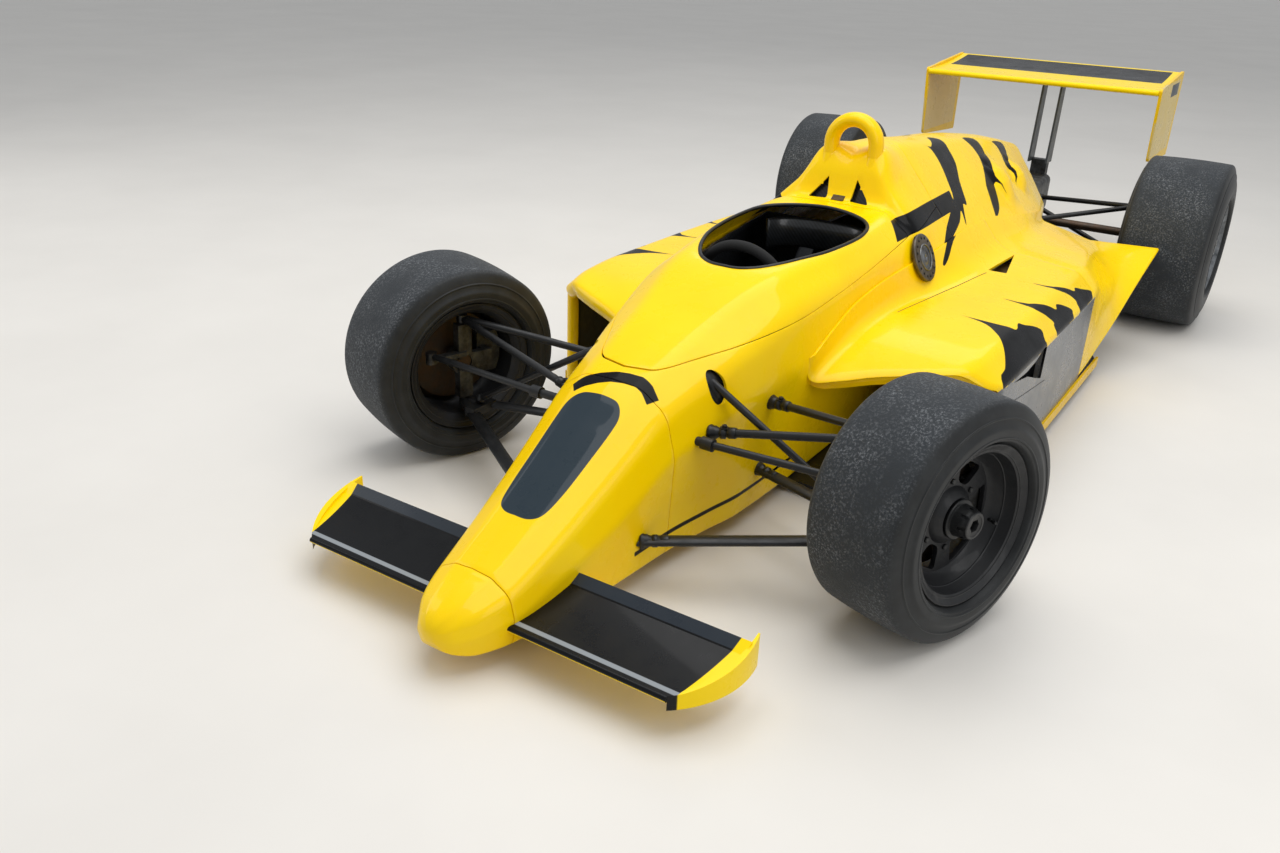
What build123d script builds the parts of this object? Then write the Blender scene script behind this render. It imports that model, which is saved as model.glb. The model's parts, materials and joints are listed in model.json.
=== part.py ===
from build123d import *
import math
import os

# Open wheel racing car at real size, in millimetres. The nose points along -Y, the driver's left is +X,
# and the tyres stand on Z = 0. Stations run rearward from the front axle; y_at() turns one into Y.

# Layout
wheelbase = 2690.0
front_track = 1432.0
rear_track = 1494.0
nose_overhang = 830.0
rear_overhang = 915.0
ride_height = 45.0

# Steering as the car stands, positive turns to the driver's left
parked_steer = -18.5
front_camber = 2.3
kingpin_offset = 70.0

# Front wheels
front_tyre_diameter = 554.0
front_tyre_section = 259.0
front_tread_width = 225.0
front_rim_width = 230.0

# Rear wheels
rear_tyre_diameter = 646.0
rear_tyre_section = 340.0
rear_tread_width = 294.0
rear_rim_width = 315.0

# Rims, shared by all four wheels
bead_radius = 165.0
lip_radius = 182.5
lip_thickness = 7.0
rim_well_depth = 13.0
rim_wall = 5.0
tyre_wall = 10.0
bead_inset = 6.0
bead_width = 14.0
well_slope = 10.0
seat_play = 1.0
bead_fit = 0.3
lip_clearance = 2.0
web_inset = 82.0
web_thickness = 12.0
web_boss_length = 34.0
web_boss_wall = 4.0
web_flange = 8.0
window_count = 6
window_inner_radius = 76.0
window_outer_radius = 128.0
window_angle = 34.0
window_corner = 9.0

# Tyre shoulders, as distance in from or out past the tread's edge and drop below the crown
tyre_shoulder = (9.0, 4.0)
tyre_corner = (3.0, 17.0)
tyre_flank = (9.0, 36.0)
tyre_bulge = 9.0

# Hubs, discs and centre nuts
hub_radius = 42.0
bell_radius = 63.0
disc_offset = 22.0
spindle_radius = 24.0
spindle_clearance = 0.3
bore_clearance = 0.3
disc_radius = 127.0
disc_thickness = 20.0
nut_radius = 34.0
nut_length = 44.0
nut_taper = 5.0
nut_socket = 24.0
stub_play = 1.0

# Brake calipers, on the rear edge of each disc, with an arm to the upright
caliper_gap = 6.0
caliper_wall = 17.0
caliper_offset = 5.0
caliper_reach = 11.0
caliper_centre = 100.0
caliper_size = (74.0, 120.0)
caliper_arm = (22.0, 46.0)
caliper_arm_place = 78.0
caliper_arm_root = 20.0

# Body shell
skin = 8.0
panel_gap = 0.5
seat_gap = 0.3
cockpit_half_width = 192.0
cockpit_front = 285.0
cockpit_rear = 915.0
# the opening's outline as half width and station, and the bends at its corners
cockpit_outline = [
    (0.52 * cockpit_half_width, cockpit_front),
    (cockpit_half_width, cockpit_front + 190),
    (cockpit_half_width, cockpit_rear - 60),
    (0.62 * cockpit_half_width, cockpit_rear),
]
cockpit_bends = [60, 150, 50, 40]
seat_bulkhead = 985.0
pedal_bulkhead = -150.0
cowl_seam_height = 489.0
cowl_seam_slope = 6.4

# Stations where the centre body is divided
tip_station = -695.0
nose_station = -205.0
fairing_station = 950.0
cover_station = 1250.0

# Centre body, one closed outline of lines and arcs at each station, mirrored about X = 0:
# station, bottom (half width, height), side (half width, height), shoulder (half width, height),
# top (half width, height), and the corner radii at bottom, side, shoulder and top.
body_sections = [
    (-830, (10, 90), (16, 97), (16, 108), (9, 116), (3, 5, 5, 5)),
    (-808, (42, 58), (54, 92), (46, 124), (22, 141), (12, 20, 16, 14)),
    (-765, (78, ride_height), (84, 100), (76, 140), (36, 160), (8, 26, 24, 24)),
    (-695, (104, ride_height), (110, 108), (98, 160), (48, 187), (9, 34, 34, 34)),
    (-450, (145, ride_height), (148, 190), (124, 268), (62, 310), (10, 60, 45, 50)),
    (-205, (164, ride_height), (176, 300), (150, 400), (78, 449), (12, 90, 60, 60)),
    (60, (211, ride_height), (232, 370), (196, 484), (104, 541), (14, 110, 70, 70)),
    (330, (222, ride_height), (262, 400), (240, 548), (156, 615), (14, 110, 80, 60)),
    (650, (224, ride_height), (275, 405), (256, 566), (196, 638), (14, 110, 80, 50)),
    (950, (226, ride_height), (318, 415), (262, 584), (166, 659), (14, 90, 120, 60)),
    (985, (227, ride_height), (326, 416), (262, 590), (150, 663), (14, 90, 120, 60)),
    (1016, (228, ride_height), (332, 418), (260, 598), (112, 740), (14, 85, 130, 50)),
    (1060, (228, ride_height), (340, 421), (256, 602), (104, 764), (14, 80, 140, 55)),
    (1250, (232, ride_height), (372, 430), (238, 610), (72, 804), (14, 60, 160, 60)),
    (1860, (240, ride_height), (378, 432), (228, 592), (74, 750), (14, 60, 160, 60)),
    (2280, (215, ride_height), (316, 424), (194, 562), (74, 696), (14, 60, 120, 55)),
    (2700, (150, ride_height), (226, 380), (150, 500), (66, 620), (14, 50, 90, 50)),
]
cover_bottom = 395.0
cover_rear = 2660.0

# Roll hoop: a bent oval tube whose feet flare into the fairing
hoop_station = 1060.0
hoop_half_width = 72.0
hoop_top = 915.0
hoop_tube = (22.0, 30.0)
hoop_flare = (46.0, 62.0)
hoop_flare_top = 790.0
hoop_foot = 700.0

# Headrest vents, two rounded triangles in the face behind the driver's helmet
vent_front = 900.0
vent_depth = 130.0
vent_low = 655.0
vent_height = 62.0
vent_inner = 50.0
vent_outer = 99.0
vent_corner = 8.0

# Blisters on the engine cover: station, half width, height, then half length, half breadth and half depth
blister_rows = [
    (1985, 205, 602, 110, 46, 66),
    (2290, 168, 566, 94, 38, 56),
]

# Side pods
pod_rear = 1550.0
pod_wall = 8.0
pod_lip = 24.0
pod_core = 150.0
pod_corner = 16.0
pod_fold = 40.0
# station, then half width and height of the side's top, the fold, the deck's inner end and the top of the
# fillet against the body, that fillet's radius, half width of the duct's inner wall, thickness of the shell
pod_sections = [
    (300, (590, 312), (500, 350), (262, 342), (266, 404), 50, 296, pod_lip),
    (420, (655, 342), (586, 396), (268, 384), (264, 452), 60, 300, pod_lip),
    (560, (682, 362), (622, 420), (275, 416), (267, 486), 70, 304, 0.8 * pod_lip),
    (720, (686, 366), (628, 428), (287, 428), (273, 510), 80, 312, pod_wall),
    (1040, (686, 362), (628, 428), (338, 434), (298, 526), 95, 352, pod_wall),
    (1300, (686, 360), (626, 426), (369, 446), (300, 538), 120, 390, pod_wall),
    (1550, (684, 358), (620, 420), (369, 452), (300, 536), 130, 392, pod_wall),
]
# plan of the front edge, swept back from the body: half width, station, and the bends between
pod_front_edge = [(pod_core, 288), (390, 352), (640, 474), (730, 640)]
pod_front_bends = [260, 190]
# openings: vent in the side wall (station, height) and slot in the deck (half width, station)
side_vent = [(640, 350), (905, 358), (952, 264), (740, 334)]
side_vent_bends = [4, 10, 10, 60]
deck_slot = [(404, 1290), (458, 1306), (418, 1530)]
deck_slot_bend = 3.0

# Floor
floor_thickness = 10.0
floor_front = 330.0
floor_rear = 2480.0
floor_half_width = 700.0
floor_tail_half_width = 470.0
floor_front_half_width = 504.0
floor_corner_run = 210.0
floor_taper_station = 1820.0
floor_tail_run = 120.0
sill_width = 8.0
sill_height = 34.0
diffuser_rear = 2860.0
diffuser_height = 140.0
diffuser_half_width = 380.0
strake_count = 3
strake_thickness = 5.0
strake_depth = 40.0
strake_share = 0.9
floor_clearance = 20.0

# Rear decks: the pods' tails, which sweep inwards and turn up ahead of the rear wheels.
# station, deck outer (half width, height), lower edge (half width, height), fold radius
tail_sections = [
    (1550, (672, 424), (684, 78), 46),
    (1800, (612, 404), (696, 128), 60),
    (2080, (548, 372), (722, 262), 60),
    (2310, (500, 350), (742, 362), 40),
]
tail_skin = 7.0
tail_core = 180.0
tail_core_rise = 22.0

# Front wing: a main plane, a flap on its trailing edge, and a tip piece that thins and rises rearward
wing_leading = -706.0
wing_chord = 168.0
wing_tip = 540.0
wing_root = 92.0
wing_height = 92.0
wing_angle = 9.0
wing_thickness = 0.14
flap_chord = 38.0
flap_thickness = 5.0
flap_angle = 24.0
tip_sweep = 58.0
tip_width = 15.0
tip_edge = 4.0
tip_length = 224.0
tip_depth = 26.0
tip_rise = 46.0

# Rear wing
rear_wing_leading = 3116.0
rear_wing_chord = 470.0
rear_wing_half_span = 508.0
rear_wing_height = 832.0
rear_wing_angle = 5.0
rear_wing_thickness = 0.085
rear_plate_bottom = 540.0
rear_plate_top = 880.0
rear_plate_front = 3110.0
rear_plate_thickness = 12.0
rear_plate_drop = 30.0
rear_plate_rake = 44.0
rear_plate_heel = 26.0
rear_plate_kick = 10.0
rear_plate_bends = [12, 22, 10, 12]
post_spacing = 74.0
post_width = 46.0
post_thickness = 9.0
post_lean = 40.0
post_front = 3400.0
post_foot = 440.0
bracket_depth = 190.0
lamp_size = (80.0, 22.0, 60.0)
lamp_drop = 130.0

# Engine, gearbox and cooling
engine_rear = 2060.0
engine_half_width = 215.0
engine_bottom = 70.0
engine_top = 500.0
engine_shoulder = 110.0
engine_corner = 10.0
gearbox_half_width = 120.0
gearbox_corner = 30.0
# station, half width, bottom, top
gearbox_sections = [
    (engine_rear + panel_gap, 162, 80, 460),
    (2420, gearbox_half_width, 100, 440),
    (2900, gearbox_half_width, 169, 410),
    (3430, 62, 205, 380),
]
output_radius = 68.0
output_length = 20.0
bracket_lip = 10.0
damper_front = 2710.0
damper_rear = 2940.0
damper_half_track = 62.0
damper_height = 452.0
damper_radius = 11.0
damper_bush = 22.0
damper_lug = (16.0, 22.0, 80.0)
spring_radius = 27.0
radiator_station = 800.0
radiator_lean = 20.0
radiator_half_track = 470.0
radiator_width = 250.0
radiator_height = 300.0
radiator_thickness = 46.0

# Front suspension points on the left, as station, half width and height
front_pickups = {
    "lower_front": (-316.0, 146.0, 128.0),
    "lower_rear": (133.0, 214.0, 158.0),
    "upper_front": (-86.0, 194.0, 330.0),
    "upper_rear": (140.0, 230.0, 342.0),
    "push_rod": (-46.0, 150.0, 450.0),
}
lower_joint_height = 158.0
upper_joint_height = 404.0
push_rod_foot = (-16.0, 575.0, 188.0)
rod_eye_radius = 14.0
rod_bracket = (34.0, 92.0)
arm_radius = 10.0
arm_chord = 19.0
joint_radius = 15.0
joint_height = 20.0
kingpin_radius = 6.0
front_column = (30.0, 40.0)
front_boss = (12.0, 46.0)
spindle_bore_length = 90.0
steering_arm_size = (26.0, 12.0)
joint_clearance = 0.3
column_gap = 6.0

# Steering
rack_station = -128.0
rack_height = 321.0
rack_radius = 11.0
rack_half_length = 250.0
rack_hole_clearance = 7.0
rod_radius = 9.0
steering_arm = 108.0
steering_arm_inset = 20.0
rod_end_gap = 0.3
rack_eye = (15.4, 30.0)
steering_wheel_radius = 128.0
steering_wheel_station = 408.0
steering_wheel_height = 520.0
column_angle = 14.0
column_radius = 11.0
column_length = 330.0
steering_grip = 14.0
steering_boss = (34.0, 22.0)
steering_spoke = (34.0, 8.0)
dash_station = 262.0
dash_thickness = 8.0
dash_bottom = 380.0

# Seat: station, half width, height of the side bolsters and of the underside
seat_sections = [
    (430, 130, 150, 96),
    (600, 165, 190, 88),
    (760, 172, 250, 92),
    (900, 178, 480, 250),
]
seat_bends = [40, 4, 4, 24]
seat_shell = 26.0
seat_taper = 8.0
bolster_width = 22.0
seat_rail = (22.0, 260.0)
seat_rail_spacing = 150.0
seat_rail_station = 690.0
seat_rail_top = 104.0

# Rear suspension points on the left
rear_pickups = {
    "lower_front": (2330.0, 115.0, 168.0),
    "lower_rear": (2930.0, 100.0, 178.0),
    "upper_front": (2400.0, 112.0, 340.0),
    "upper_rear": (2960.0, 100.0, 360.0),
    "push_rod": (2740.0, 108.0, 396.0),
}
rear_rod_foot = (2765.0, 545.0, 206.0)
rear_joint_half_width = 575.0
rear_lower_joint_height = 180.0
rear_upper_joint_height = 430.0
rear_column = (34.0, 70.0)
rear_column_overrun = 20.0
rear_boss = (16.0, 70.0)
rear_leg_spread = 20.0
rear_leg_end = 18.0
rear_leg_chord = 42.0
shaft_radius = 17.0
shaft_gap = 10.0
shaft_overrun = 10.0

# Fuel filler
filler_station = 985.0
filler_half_width = 285.0
filler_height = 532.0
filler_radius = 63.0
filler_tilt = 67.0
filler_thickness = 14.0
filler_bore = 34.0
filler_bore_depth = 10.0

# Derived places
engine_front = cover_station + seat_gap
length = nose_overhang + wheelbase + rear_overhang
front_axle_y = nose_overhang - length / 2
rear_tyre_radius = rear_tyre_diameter / 2
kingpin_half_track = front_track / 2 - kingpin_offset * math.cos(math.radians(parked_steer))
rest_steer = math.radians(parked_steer)
big = 3000.0
upward = (Align.CENTER, Align.CENTER, Align.MIN)
downward = (Align.CENTER, Align.CENTER, Align.MAX)


def y_at(station):
    return front_axle_y + station


def point(station, half_width, height, side=1):
    return Vector(side * half_width, y_at(station), height)


def cross_plane(station):
    return Plane((0, y_at(station), 0), x_dir=(1, 0, 0), z_dir=(0, -1, 0))


def rounded(plane, corners, radii):
    return plane * make_face(FilletPolyline(*corners, radius=radii, close=True))


def mirrored(part):
    return mirror(part, about=Plane.YZ)


def both_sides(part):
    return Compound(children=[part, mirrored(part)])


def rod(start, end, radius):
    run = end - start
    return Plane(origin=start, z_dir=run) * Cylinder(radius, run.length, align=upward)


def flat_rod(start, end, chord, radius):
    # streamlined leg: an ellipse whose long axis lies level, extruded along the leg
    run = end - start
    level = Vector(0, 0, 1).cross(run).normalized()
    plane = Plane(origin=start, x_dir=level, z_dir=run)
    return extrude(plane * Ellipse(chord, radius), amount=run.length)


def half_space(plane, depth=big):
    return plane * Box(2 * big, 2 * big, depth, align=upward)


# Centre body

def body_face(row, inset=0.0):
    station, bottom, side, shoulder, top, radii = row
    right = [
        (bottom[0] - inset, bottom[1] + inset),
        (side[0] - inset, side[1]),
        (shoulder[0] - 0.9 * inset, shoulder[1] - 0.5 * inset),
        (max(top[0] - 0.6 * inset, 1), top[1] - inset),
    ]
    left = [(-x, z) for x, z in reversed(right)]
    corner = [max(r - 0.5 * inset, 1) for r in radii]
    return rounded(cross_plane(station), right + left, corner + corner[::-1])


def body_solid(first, last, inset=0.0, ruled=False):
    rows = [row for row in body_sections if first <= row[0] <= last]
    return loft([body_face(row, inset) for row in rows], ruled=ruled)


def tub_solid(inset=0.0):
    return body_solid(nose_station, fairing_station, inset)


def tank_solid(inset=0.0):
    # the headrest's steep face needs straight runs between its sections
    return body_solid(fairing_station, cover_station, inset, ruled=True)


def cover_solid(inset=0.0):
    return body_solid(cover_station, body_sections[-1][0], inset)


def between(shape, front, rear):
    depth = rear - front
    block = Pos(0, y_at(front) + depth / 2, 0) * Box(2 * big, depth, 2 * big)
    return shape & block


def seam_plane(lift):
    # the joint between tub and cowl rises gently towards the rear
    plane = Plane((0, y_at(0), cowl_seam_height), x_dir=(1, 0, 0), z_dir=(0, 0, 1))
    return plane.rotated((cowl_seam_slope, 0, 0)).offset(lift)


def monocoque():
    tub = tub_solid() - between(tub_solid(skin), pedal_bulkhead, fairing_station + 1)
    tank = tank_solid() - between(tank_solid(skin), fairing_station - 1, seat_bulkhead)
    tank -= between(tank_solid(skin), seat_bulkhead + skin, cover_station - skin)
    tub = between(tub, nose_station + panel_gap, fairing_station)
    tub += between(tank, fairing_station, cover_station)
    tub -= half_space(seam_plane(-panel_gap / 2))
    rack_bore = Pos(0, y_at(rack_station), rack_height) * Rot(0, 90, 0)
    tub -= rack_bore * Cylinder(rack_radius + rack_hole_clearance, big)
    return tub


def cockpit_opening():
    corners = [(x, y_at(station)) for x, station in cockpit_outline]
    corners += [(-x, y) for x, y in reversed(corners)]
    face = make_face(FilletPolyline(*corners, radius=cockpit_bends + cockpit_bends[::-1], close=True))
    return extrude(Pos(0, 0, cowl_seam_height / 2) * face, amount=big)


def cockpit_cowl():
    shell = tub_solid() - between(tub_solid(skin), nose_station - 1, fairing_station + 1)
    shell = between(shell, nose_station, fairing_station - panel_gap)
    shell &= half_space(seam_plane(panel_gap / 2))
    return shell - cockpit_opening()


def headrest_fairing():
    shell = tank_solid() - between(tank_solid(skin), fairing_station + skin, cover_station + 1)
    shell = between(shell, fairing_station, cover_station - panel_gap)
    shell &= half_space(seam_plane(panel_gap / 2))
    vent = [
        (vent_inner, vent_low),
        (vent_outer, vent_low),
        (vent_inner, vent_low + vent_height),
    ]
    cutter = extrude(rounded(cross_plane(vent_front), vent, vent_corner), amount=-vent_depth)
    return shell - cutter - mirrored(cutter)


def roll_hoop():
    # the tube's centre line goes up one leg, over the top in an arc and down the other
    plane = cross_plane(hoop_station)
    tube, depth = hoop_tube
    bend_start = hoop_top - tube - hoop_half_width
    right = Line((hoop_half_width, hoop_foot), (hoop_half_width, bend_start))
    over = ThreePointArc((hoop_half_width, bend_start), (0, hoop_top - tube), (-hoop_half_width, bend_start))
    left = Line((-hoop_half_width, bend_start), (-hoop_half_width, hoop_foot))
    path = plane * Wire([right, over, left])
    start = Plane(path @ 0, x_dir=(1, 0, 0), z_dir=path % 0)
    hoop = sweep(start * Ellipse(tube, depth), path=path)
    foot = loft([
        start * Ellipse(*hoop_flare),
        start.offset(hoop_flare_top - hoop_foot) * Ellipse(tube, depth),
    ])
    return hoop + foot + mirrored(foot) - tank_solid(-panel_gap)


def cover_blisters(inset=0.0):
    # smooth bulges over the ends of the cam boxes
    shapes = []
    for station, half_width, height, along, across, deep in blister_rows:
        place = Pos(half_width, y_at(station), height)
        shapes.append(place * scale(Sphere(1), by=(across - inset, along - inset, deep - inset)))
    return shapes + [mirrored(shape) for shape in shapes]


def engine_cover():
    shell = cover_solid() + cover_blisters()
    shell -= between(cover_solid(skin), cover_station - 1, body_sections[-1][0] + 1)
    for hollow in cover_blisters(skin):
        shell -= hollow
    shell = between(shell, cover_station, cover_rear)
    return shell & half_space(Plane((0, 0, cover_bottom)))


# Side pods

def pod_face(row, hollow=False):
    # outline of a pod at one station, or of the duct inside it
    station, side, fold, deck, crest, fillet_bend, duct_inner, wall = row
    low = ride_height + panel_gap
    if hollow:
        corners = [
            (duct_inner, low + pod_wall),
            (side[0] - wall, low + pod_wall),
            (side[0] - wall, side[1]),
            (fold[0] - 0.5 * wall, fold[1] - wall),
            (duct_inner, deck[1] - wall),
        ]
        return rounded(cross_plane(station), corners, [2, pod_corner, pod_fold, pod_fold, 2])
    corners = [
        (pod_core, low),
        (side[0], low),
        side,
        fold,
        deck,
        crest,
        (pod_core, crest[1]),
    ]
    return rounded(cross_plane(station), corners, [2, pod_corner, pod_fold, pod_fold, fillet_bend, 2, 2])


def pod_openings():
    # room ahead of the swept front edge, the side vent and the slot in the deck
    ahead = [(x, y_at(station)) for x, station in pod_front_edge]
    nose = y_at(pod_sections[0][0]) - pod_core
    outline = ahead + [(ahead[-1][0], nose), (ahead[0][0], nose)]
    bends = [1, *pod_front_bends, 1, 1, 1]
    front = extrude(make_face(FilletPolyline(*outline, radius=bends, close=True)), amount=big)
    side_plane = Plane((pod_sections[0][1][0], 0, 0), x_dir=(0, 1, 0), z_dir=(1, 0, 0))
    vent = [(y_at(station), height) for station, height in side_vent]
    side = extrude(rounded(side_plane, vent, side_vent_bends), amount=pod_core)
    slot = [(x, y_at(station)) for x, station in deck_slot]
    slot_face = make_face(FilletPolyline(*slot, radius=deck_slot_bend, close=True))
    deck = extrude(Pos(0, 0, side_vent[0][1]) * slot_face, amount=pod_core)
    return [front, side, deck]


def clear_of(shape, solids):
    # trims a piece to stand off the given solids
    for solid in solids:
        shape -= solid
    return shape


def sidepod(body):
    pod = loft([pod_face(row) for row in pod_sections], ruled=True)
    duct = loft([pod_face(row, hollow=True) for row in pod_sections], ruled=True)
    duct = between(duct, pod_sections[0][0] - 1, pod_rear - pod_wall)
    return clear_of(pod - duct, pod_openings() + body)


def tail_face(row):
    station, deck, edge, radius = row
    inner = (tail_core, deck[1] + tail_core_rise)
    top = [inner, deck, edge]
    low = [(edge[0] - 0.7 * tail_skin, edge[1] - 0.7 * tail_skin), (deck[0] - 5, deck[1] - tail_skin),
           (inner[0], inner[1] - tail_skin)]
    return rounded(cross_plane(station), top + low, [1, radius, 1, 1, radius - tail_skin, 1])


def tail_deck(body):
    deck = loft([tail_face(row) for row in tail_sections])
    return clear_of(deck, body)


# Floor

def floor():
    half = [
        (0, y_at(floor_front)),
        (floor_front_half_width, y_at(floor_front)),
        (floor_half_width, y_at(floor_front + floor_corner_run)),
        (floor_half_width, y_at(floor_taper_station)),
        (floor_tail_half_width, y_at(floor_rear - floor_tail_run)),
        (floor_tail_half_width, y_at(floor_rear)),
        (0, y_at(floor_rear)),
    ]
    plan = make_face(Polyline(*half, close=True))
    top = ride_height - panel_gap
    plate = extrude(Pos(0, 0, top - floor_thickness) * plan, amount=floor_thickness)
    edge = Pos(floor_half_width, y_at(floor_front + floor_corner_run), top - floor_thickness)
    run = floor_taper_station - floor_front - floor_corner_run
    plate += edge * Box(sill_width, run, sill_height, align=(Align.MAX, Align.MIN, Align.MIN))
    plate = plate + mirrored(plate)
    rise = math.degrees(math.atan2(diffuser_height - top, diffuser_rear - floor_rear))
    slope = math.hypot(diffuser_height - top, diffuser_rear - floor_rear)
    hinge = Pos(0, y_at(floor_rear) - floor_thickness, top) * Rot(rise, 0, 0)
    hung = (Align.CENTER, Align.MIN, Align.MAX)
    ramp = hinge * Box(2 * diffuser_half_width, slope, floor_thickness, align=hung)
    strake_step = 2 * diffuser_half_width / (strake_count + 1)
    for index in range(1, strake_count + 1):
        place = Pos(index * strake_step - diffuser_half_width, 0, -floor_thickness)
        ramp += hinge * place * Box(strake_thickness, strake_share * slope, strake_depth, align=hung)
    return (plate + ramp) & half_space(Plane((0, 0, floor_clearance)))


# Wings

def wing_section(chord, ratio, plane):
    # a cambered section of two arcs with a rounded nose, lift pointing down
    thick = ratio * chord
    upper = ThreePointArc((0, 0.35 * thick), (0.45 * chord, 0.1 * thick), (chord, 0.3 * thick))
    lower = ThreePointArc((0, -0.25 * thick), (0.4 * chord, -0.9 * thick), (chord, 0.1 * thick))
    nose = ThreePointArc((0, 0.35 * thick), (-0.3 * thick, 0.05 * thick), (0, -0.25 * thick))
    tail = Line((chord, 0.3 * thick), (chord, 0.1 * thick))
    return plane * make_face([upper, tail, lower, nose])


def wing_tip_line(inset):
    # plan of the tip piece's outer face, an arc that sweeps back from the leading edge
    front = y_at(wing_leading)
    return [
        (wing_tip - tip_sweep, front - inset),
        (wing_tip + tip_width / 2 - inset, front + 0.42 * tip_length),
        (wing_tip + tip_width - inset, front + tip_length),
    ]


def front_wing():
    nose = math.radians(wing_angle)
    plane = Plane((wing_root, y_at(wing_leading), wing_height), x_dir=(0, math.cos(nose), math.sin(nose)),
                  z_dir=(1, 0, 0))
    span = wing_tip + tip_width - wing_root
    wing = extrude(wing_section(wing_chord, wing_thickness, plane), amount=span)
    hinge = plane * Pos(wing_chord - flap_thickness, 0, span / 2) * Rot(0, 0, flap_angle)
    wing += hinge * Box(flap_chord, flap_thickness, span, align=(Align.MIN, Align.MIN, Align.CENTER))
    start, middle, stop = wing_tip_line(0)
    edge = [ThreePointArc(start, middle, stop), Polyline(stop, (0, stop[1]), (0, start[1] - big), (
        start[0], start[1] - big), start)]
    wing &= extrude(make_face(edge), amount=big, both=True)
    inner_middle = (middle[0] - tip_width, middle[1])
    inner_stop = (stop[0] - tip_edge, stop[1])
    crescent = make_face([ThreePointArc(start, middle, stop), Line(stop, inner_stop),
                          ThreePointArc(inner_stop, inner_middle, start)])
    low = wing_height - tip_depth
    tip = extrude(Pos(0, 0, low) * crescent, amount=tip_depth + 2 * tip_rise)
    slope = math.degrees(math.atan2(tip_rise, tip_length))
    ridge = Plane((0, start[1], wing_height + flap_thickness), x_dir=(1, 0, 0), z_dir=(0, 0, 1))
    tip -= half_space(ridge.rotated((slope, 0, 0)))
    nose_clear = body_solid(tip_station, nose_station, -panel_gap)
    tip_clear = body_solid(body_sections[0][0], tip_station, -panel_gap)
    return wing + tip - nose_clear - tip_clear


def rear_wing_section(gap=0.0):
    tilt = math.radians(rear_wing_angle)
    plane = Plane((-rear_wing_half_span, y_at(rear_wing_leading), rear_wing_height - gap),
                  x_dir=(0, math.cos(tilt), math.sin(tilt)), z_dir=(1, 0, 0))
    return wing_section(rear_wing_chord, rear_wing_thickness, plane)


def rear_wing():
    return extrude(rear_wing_section(), amount=2 * rear_wing_half_span)


def rear_end_plates():
    rear = wheelbase + rear_overhang
    corners = [
        (y_at(rear_plate_front), rear_plate_top - rear_plate_drop),
        (y_at(rear_plate_front + rear_plate_rake), rear_plate_bottom),
        (y_at(rear), rear_plate_bottom - rear_plate_heel),
        (y_at(rear), rear_plate_top + rear_plate_kick),
    ]
    plane = Plane((rear_wing_half_span + panel_gap, 0, 0), x_dir=(0, 1, 0), z_dir=(1, 0, 0))
    plate = extrude(rounded(plane, corners, rear_plate_bends), amount=rear_plate_thickness)
    return both_sides(plate)


def wing_posts():
    # two flat plates that stand on the gearbox's bracket and end just below the wing
    plane = Plane((post_spacing / 2, 0, 0), x_dir=(0, 1, 0), z_dir=(1, 0, 0))
    front = y_at(post_front)
    top = rear_wing_height + rear_wing_thickness * rear_wing_chord
    corners = [
        (front - post_lean, post_foot),
        (front, top),
        (front + post_width + post_lean / 2, top),
        (front + post_width, post_foot),
    ]
    post = extrude(plane * make_face(Polyline(*corners, close=True)), amount=post_thickness)
    post -= extrude(rear_wing_section(panel_gap), amount=2 * rear_wing_half_span)
    below = [solid for solid in post.solids() if solid.bounding_box().min.Z < rear_wing_height - panel_gap]
    return both_sides(below[0])


# Engine, gearbox, radiators and lamp

def engine_block():
    corners = [
        (0.62 * engine_half_width, engine_bottom),
        (0.72 * engine_half_width, 0.5 * (engine_bottom + engine_top)),
        (engine_half_width, engine_top - engine_shoulder),
        (0.8 * engine_half_width, engine_top),
    ]
    corners += [(-x, z) for x, z in reversed(corners)]
    face = rounded(cross_plane(engine_front), corners, engine_corner)
    return extrude(face, amount=engine_front - engine_rear)


def gearbox_case(grow=0.0):
    faces = []
    for station, half, low, high in gearbox_sections:
        half, low, high = half + grow, low - grow, high + grow
        corners = [(half, low), (half, high), (-half, high), (-half, low)]
        faces.append(rounded(cross_plane(station), corners, gearbox_corner))
    return loft(faces, ruled=True)


def spring_unit():
    # coil spring over its damper, lying on the casing between two lugs
    front = point(damper_front, damper_half_track, damper_height)
    rear = point(damper_rear, damper_half_track, damper_height)
    unit = rod(front, rear, damper_radius)
    run = (rear - front).normalized()
    unit += rod(front + run * damper_bush, rear - run * damper_bush, spring_radius)
    for end in (front, rear):
        unit += Pos(end.X, end.Y, end.Z + damper_radius) * Box(*damper_lug, align=downward)
    return unit


def gearbox():
    case = gearbox_case()
    bracket = Pos(0, y_at(post_front + post_width / 2), post_foot + bracket_lip)
    block = bracket * Box(post_spacing - 2 * panel_gap, post_width, bracket_depth, align=downward)
    axle = Pos(0, y_at(wheelbase), rear_tyre_radius) * Rot(0, 90, 0)
    case += axle * Cylinder(output_radius, 2 * (gearbox_half_width + output_length))
    unit = spring_unit()
    return case + block + unit + mirrored(unit)


def radiators():
    pod_floor = ride_height + panel_gap + pod_wall + seat_gap
    foot = pod_floor + radiator_thickness / 2 * math.sin(math.radians(radiator_lean))
    core = Pos(radiator_half_track, y_at(radiator_station), foot) * Rot(radiator_lean, 0, 0)
    return both_sides(core * Box(radiator_width, radiator_thickness, radiator_height, align=upward))


def rear_lamp():
    place = Pos(0, y_at(post_front + post_width) + panel_gap, post_foot - lamp_drop)
    return place * Box(*lamp_size, align=(Align.CENTER, Align.MIN, Align.CENTER))


# Wheels, built about a local axis along +X that points outboard

def revolved(points_or_face):
    return revolve(points_or_face, axis=Axis.X)


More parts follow.
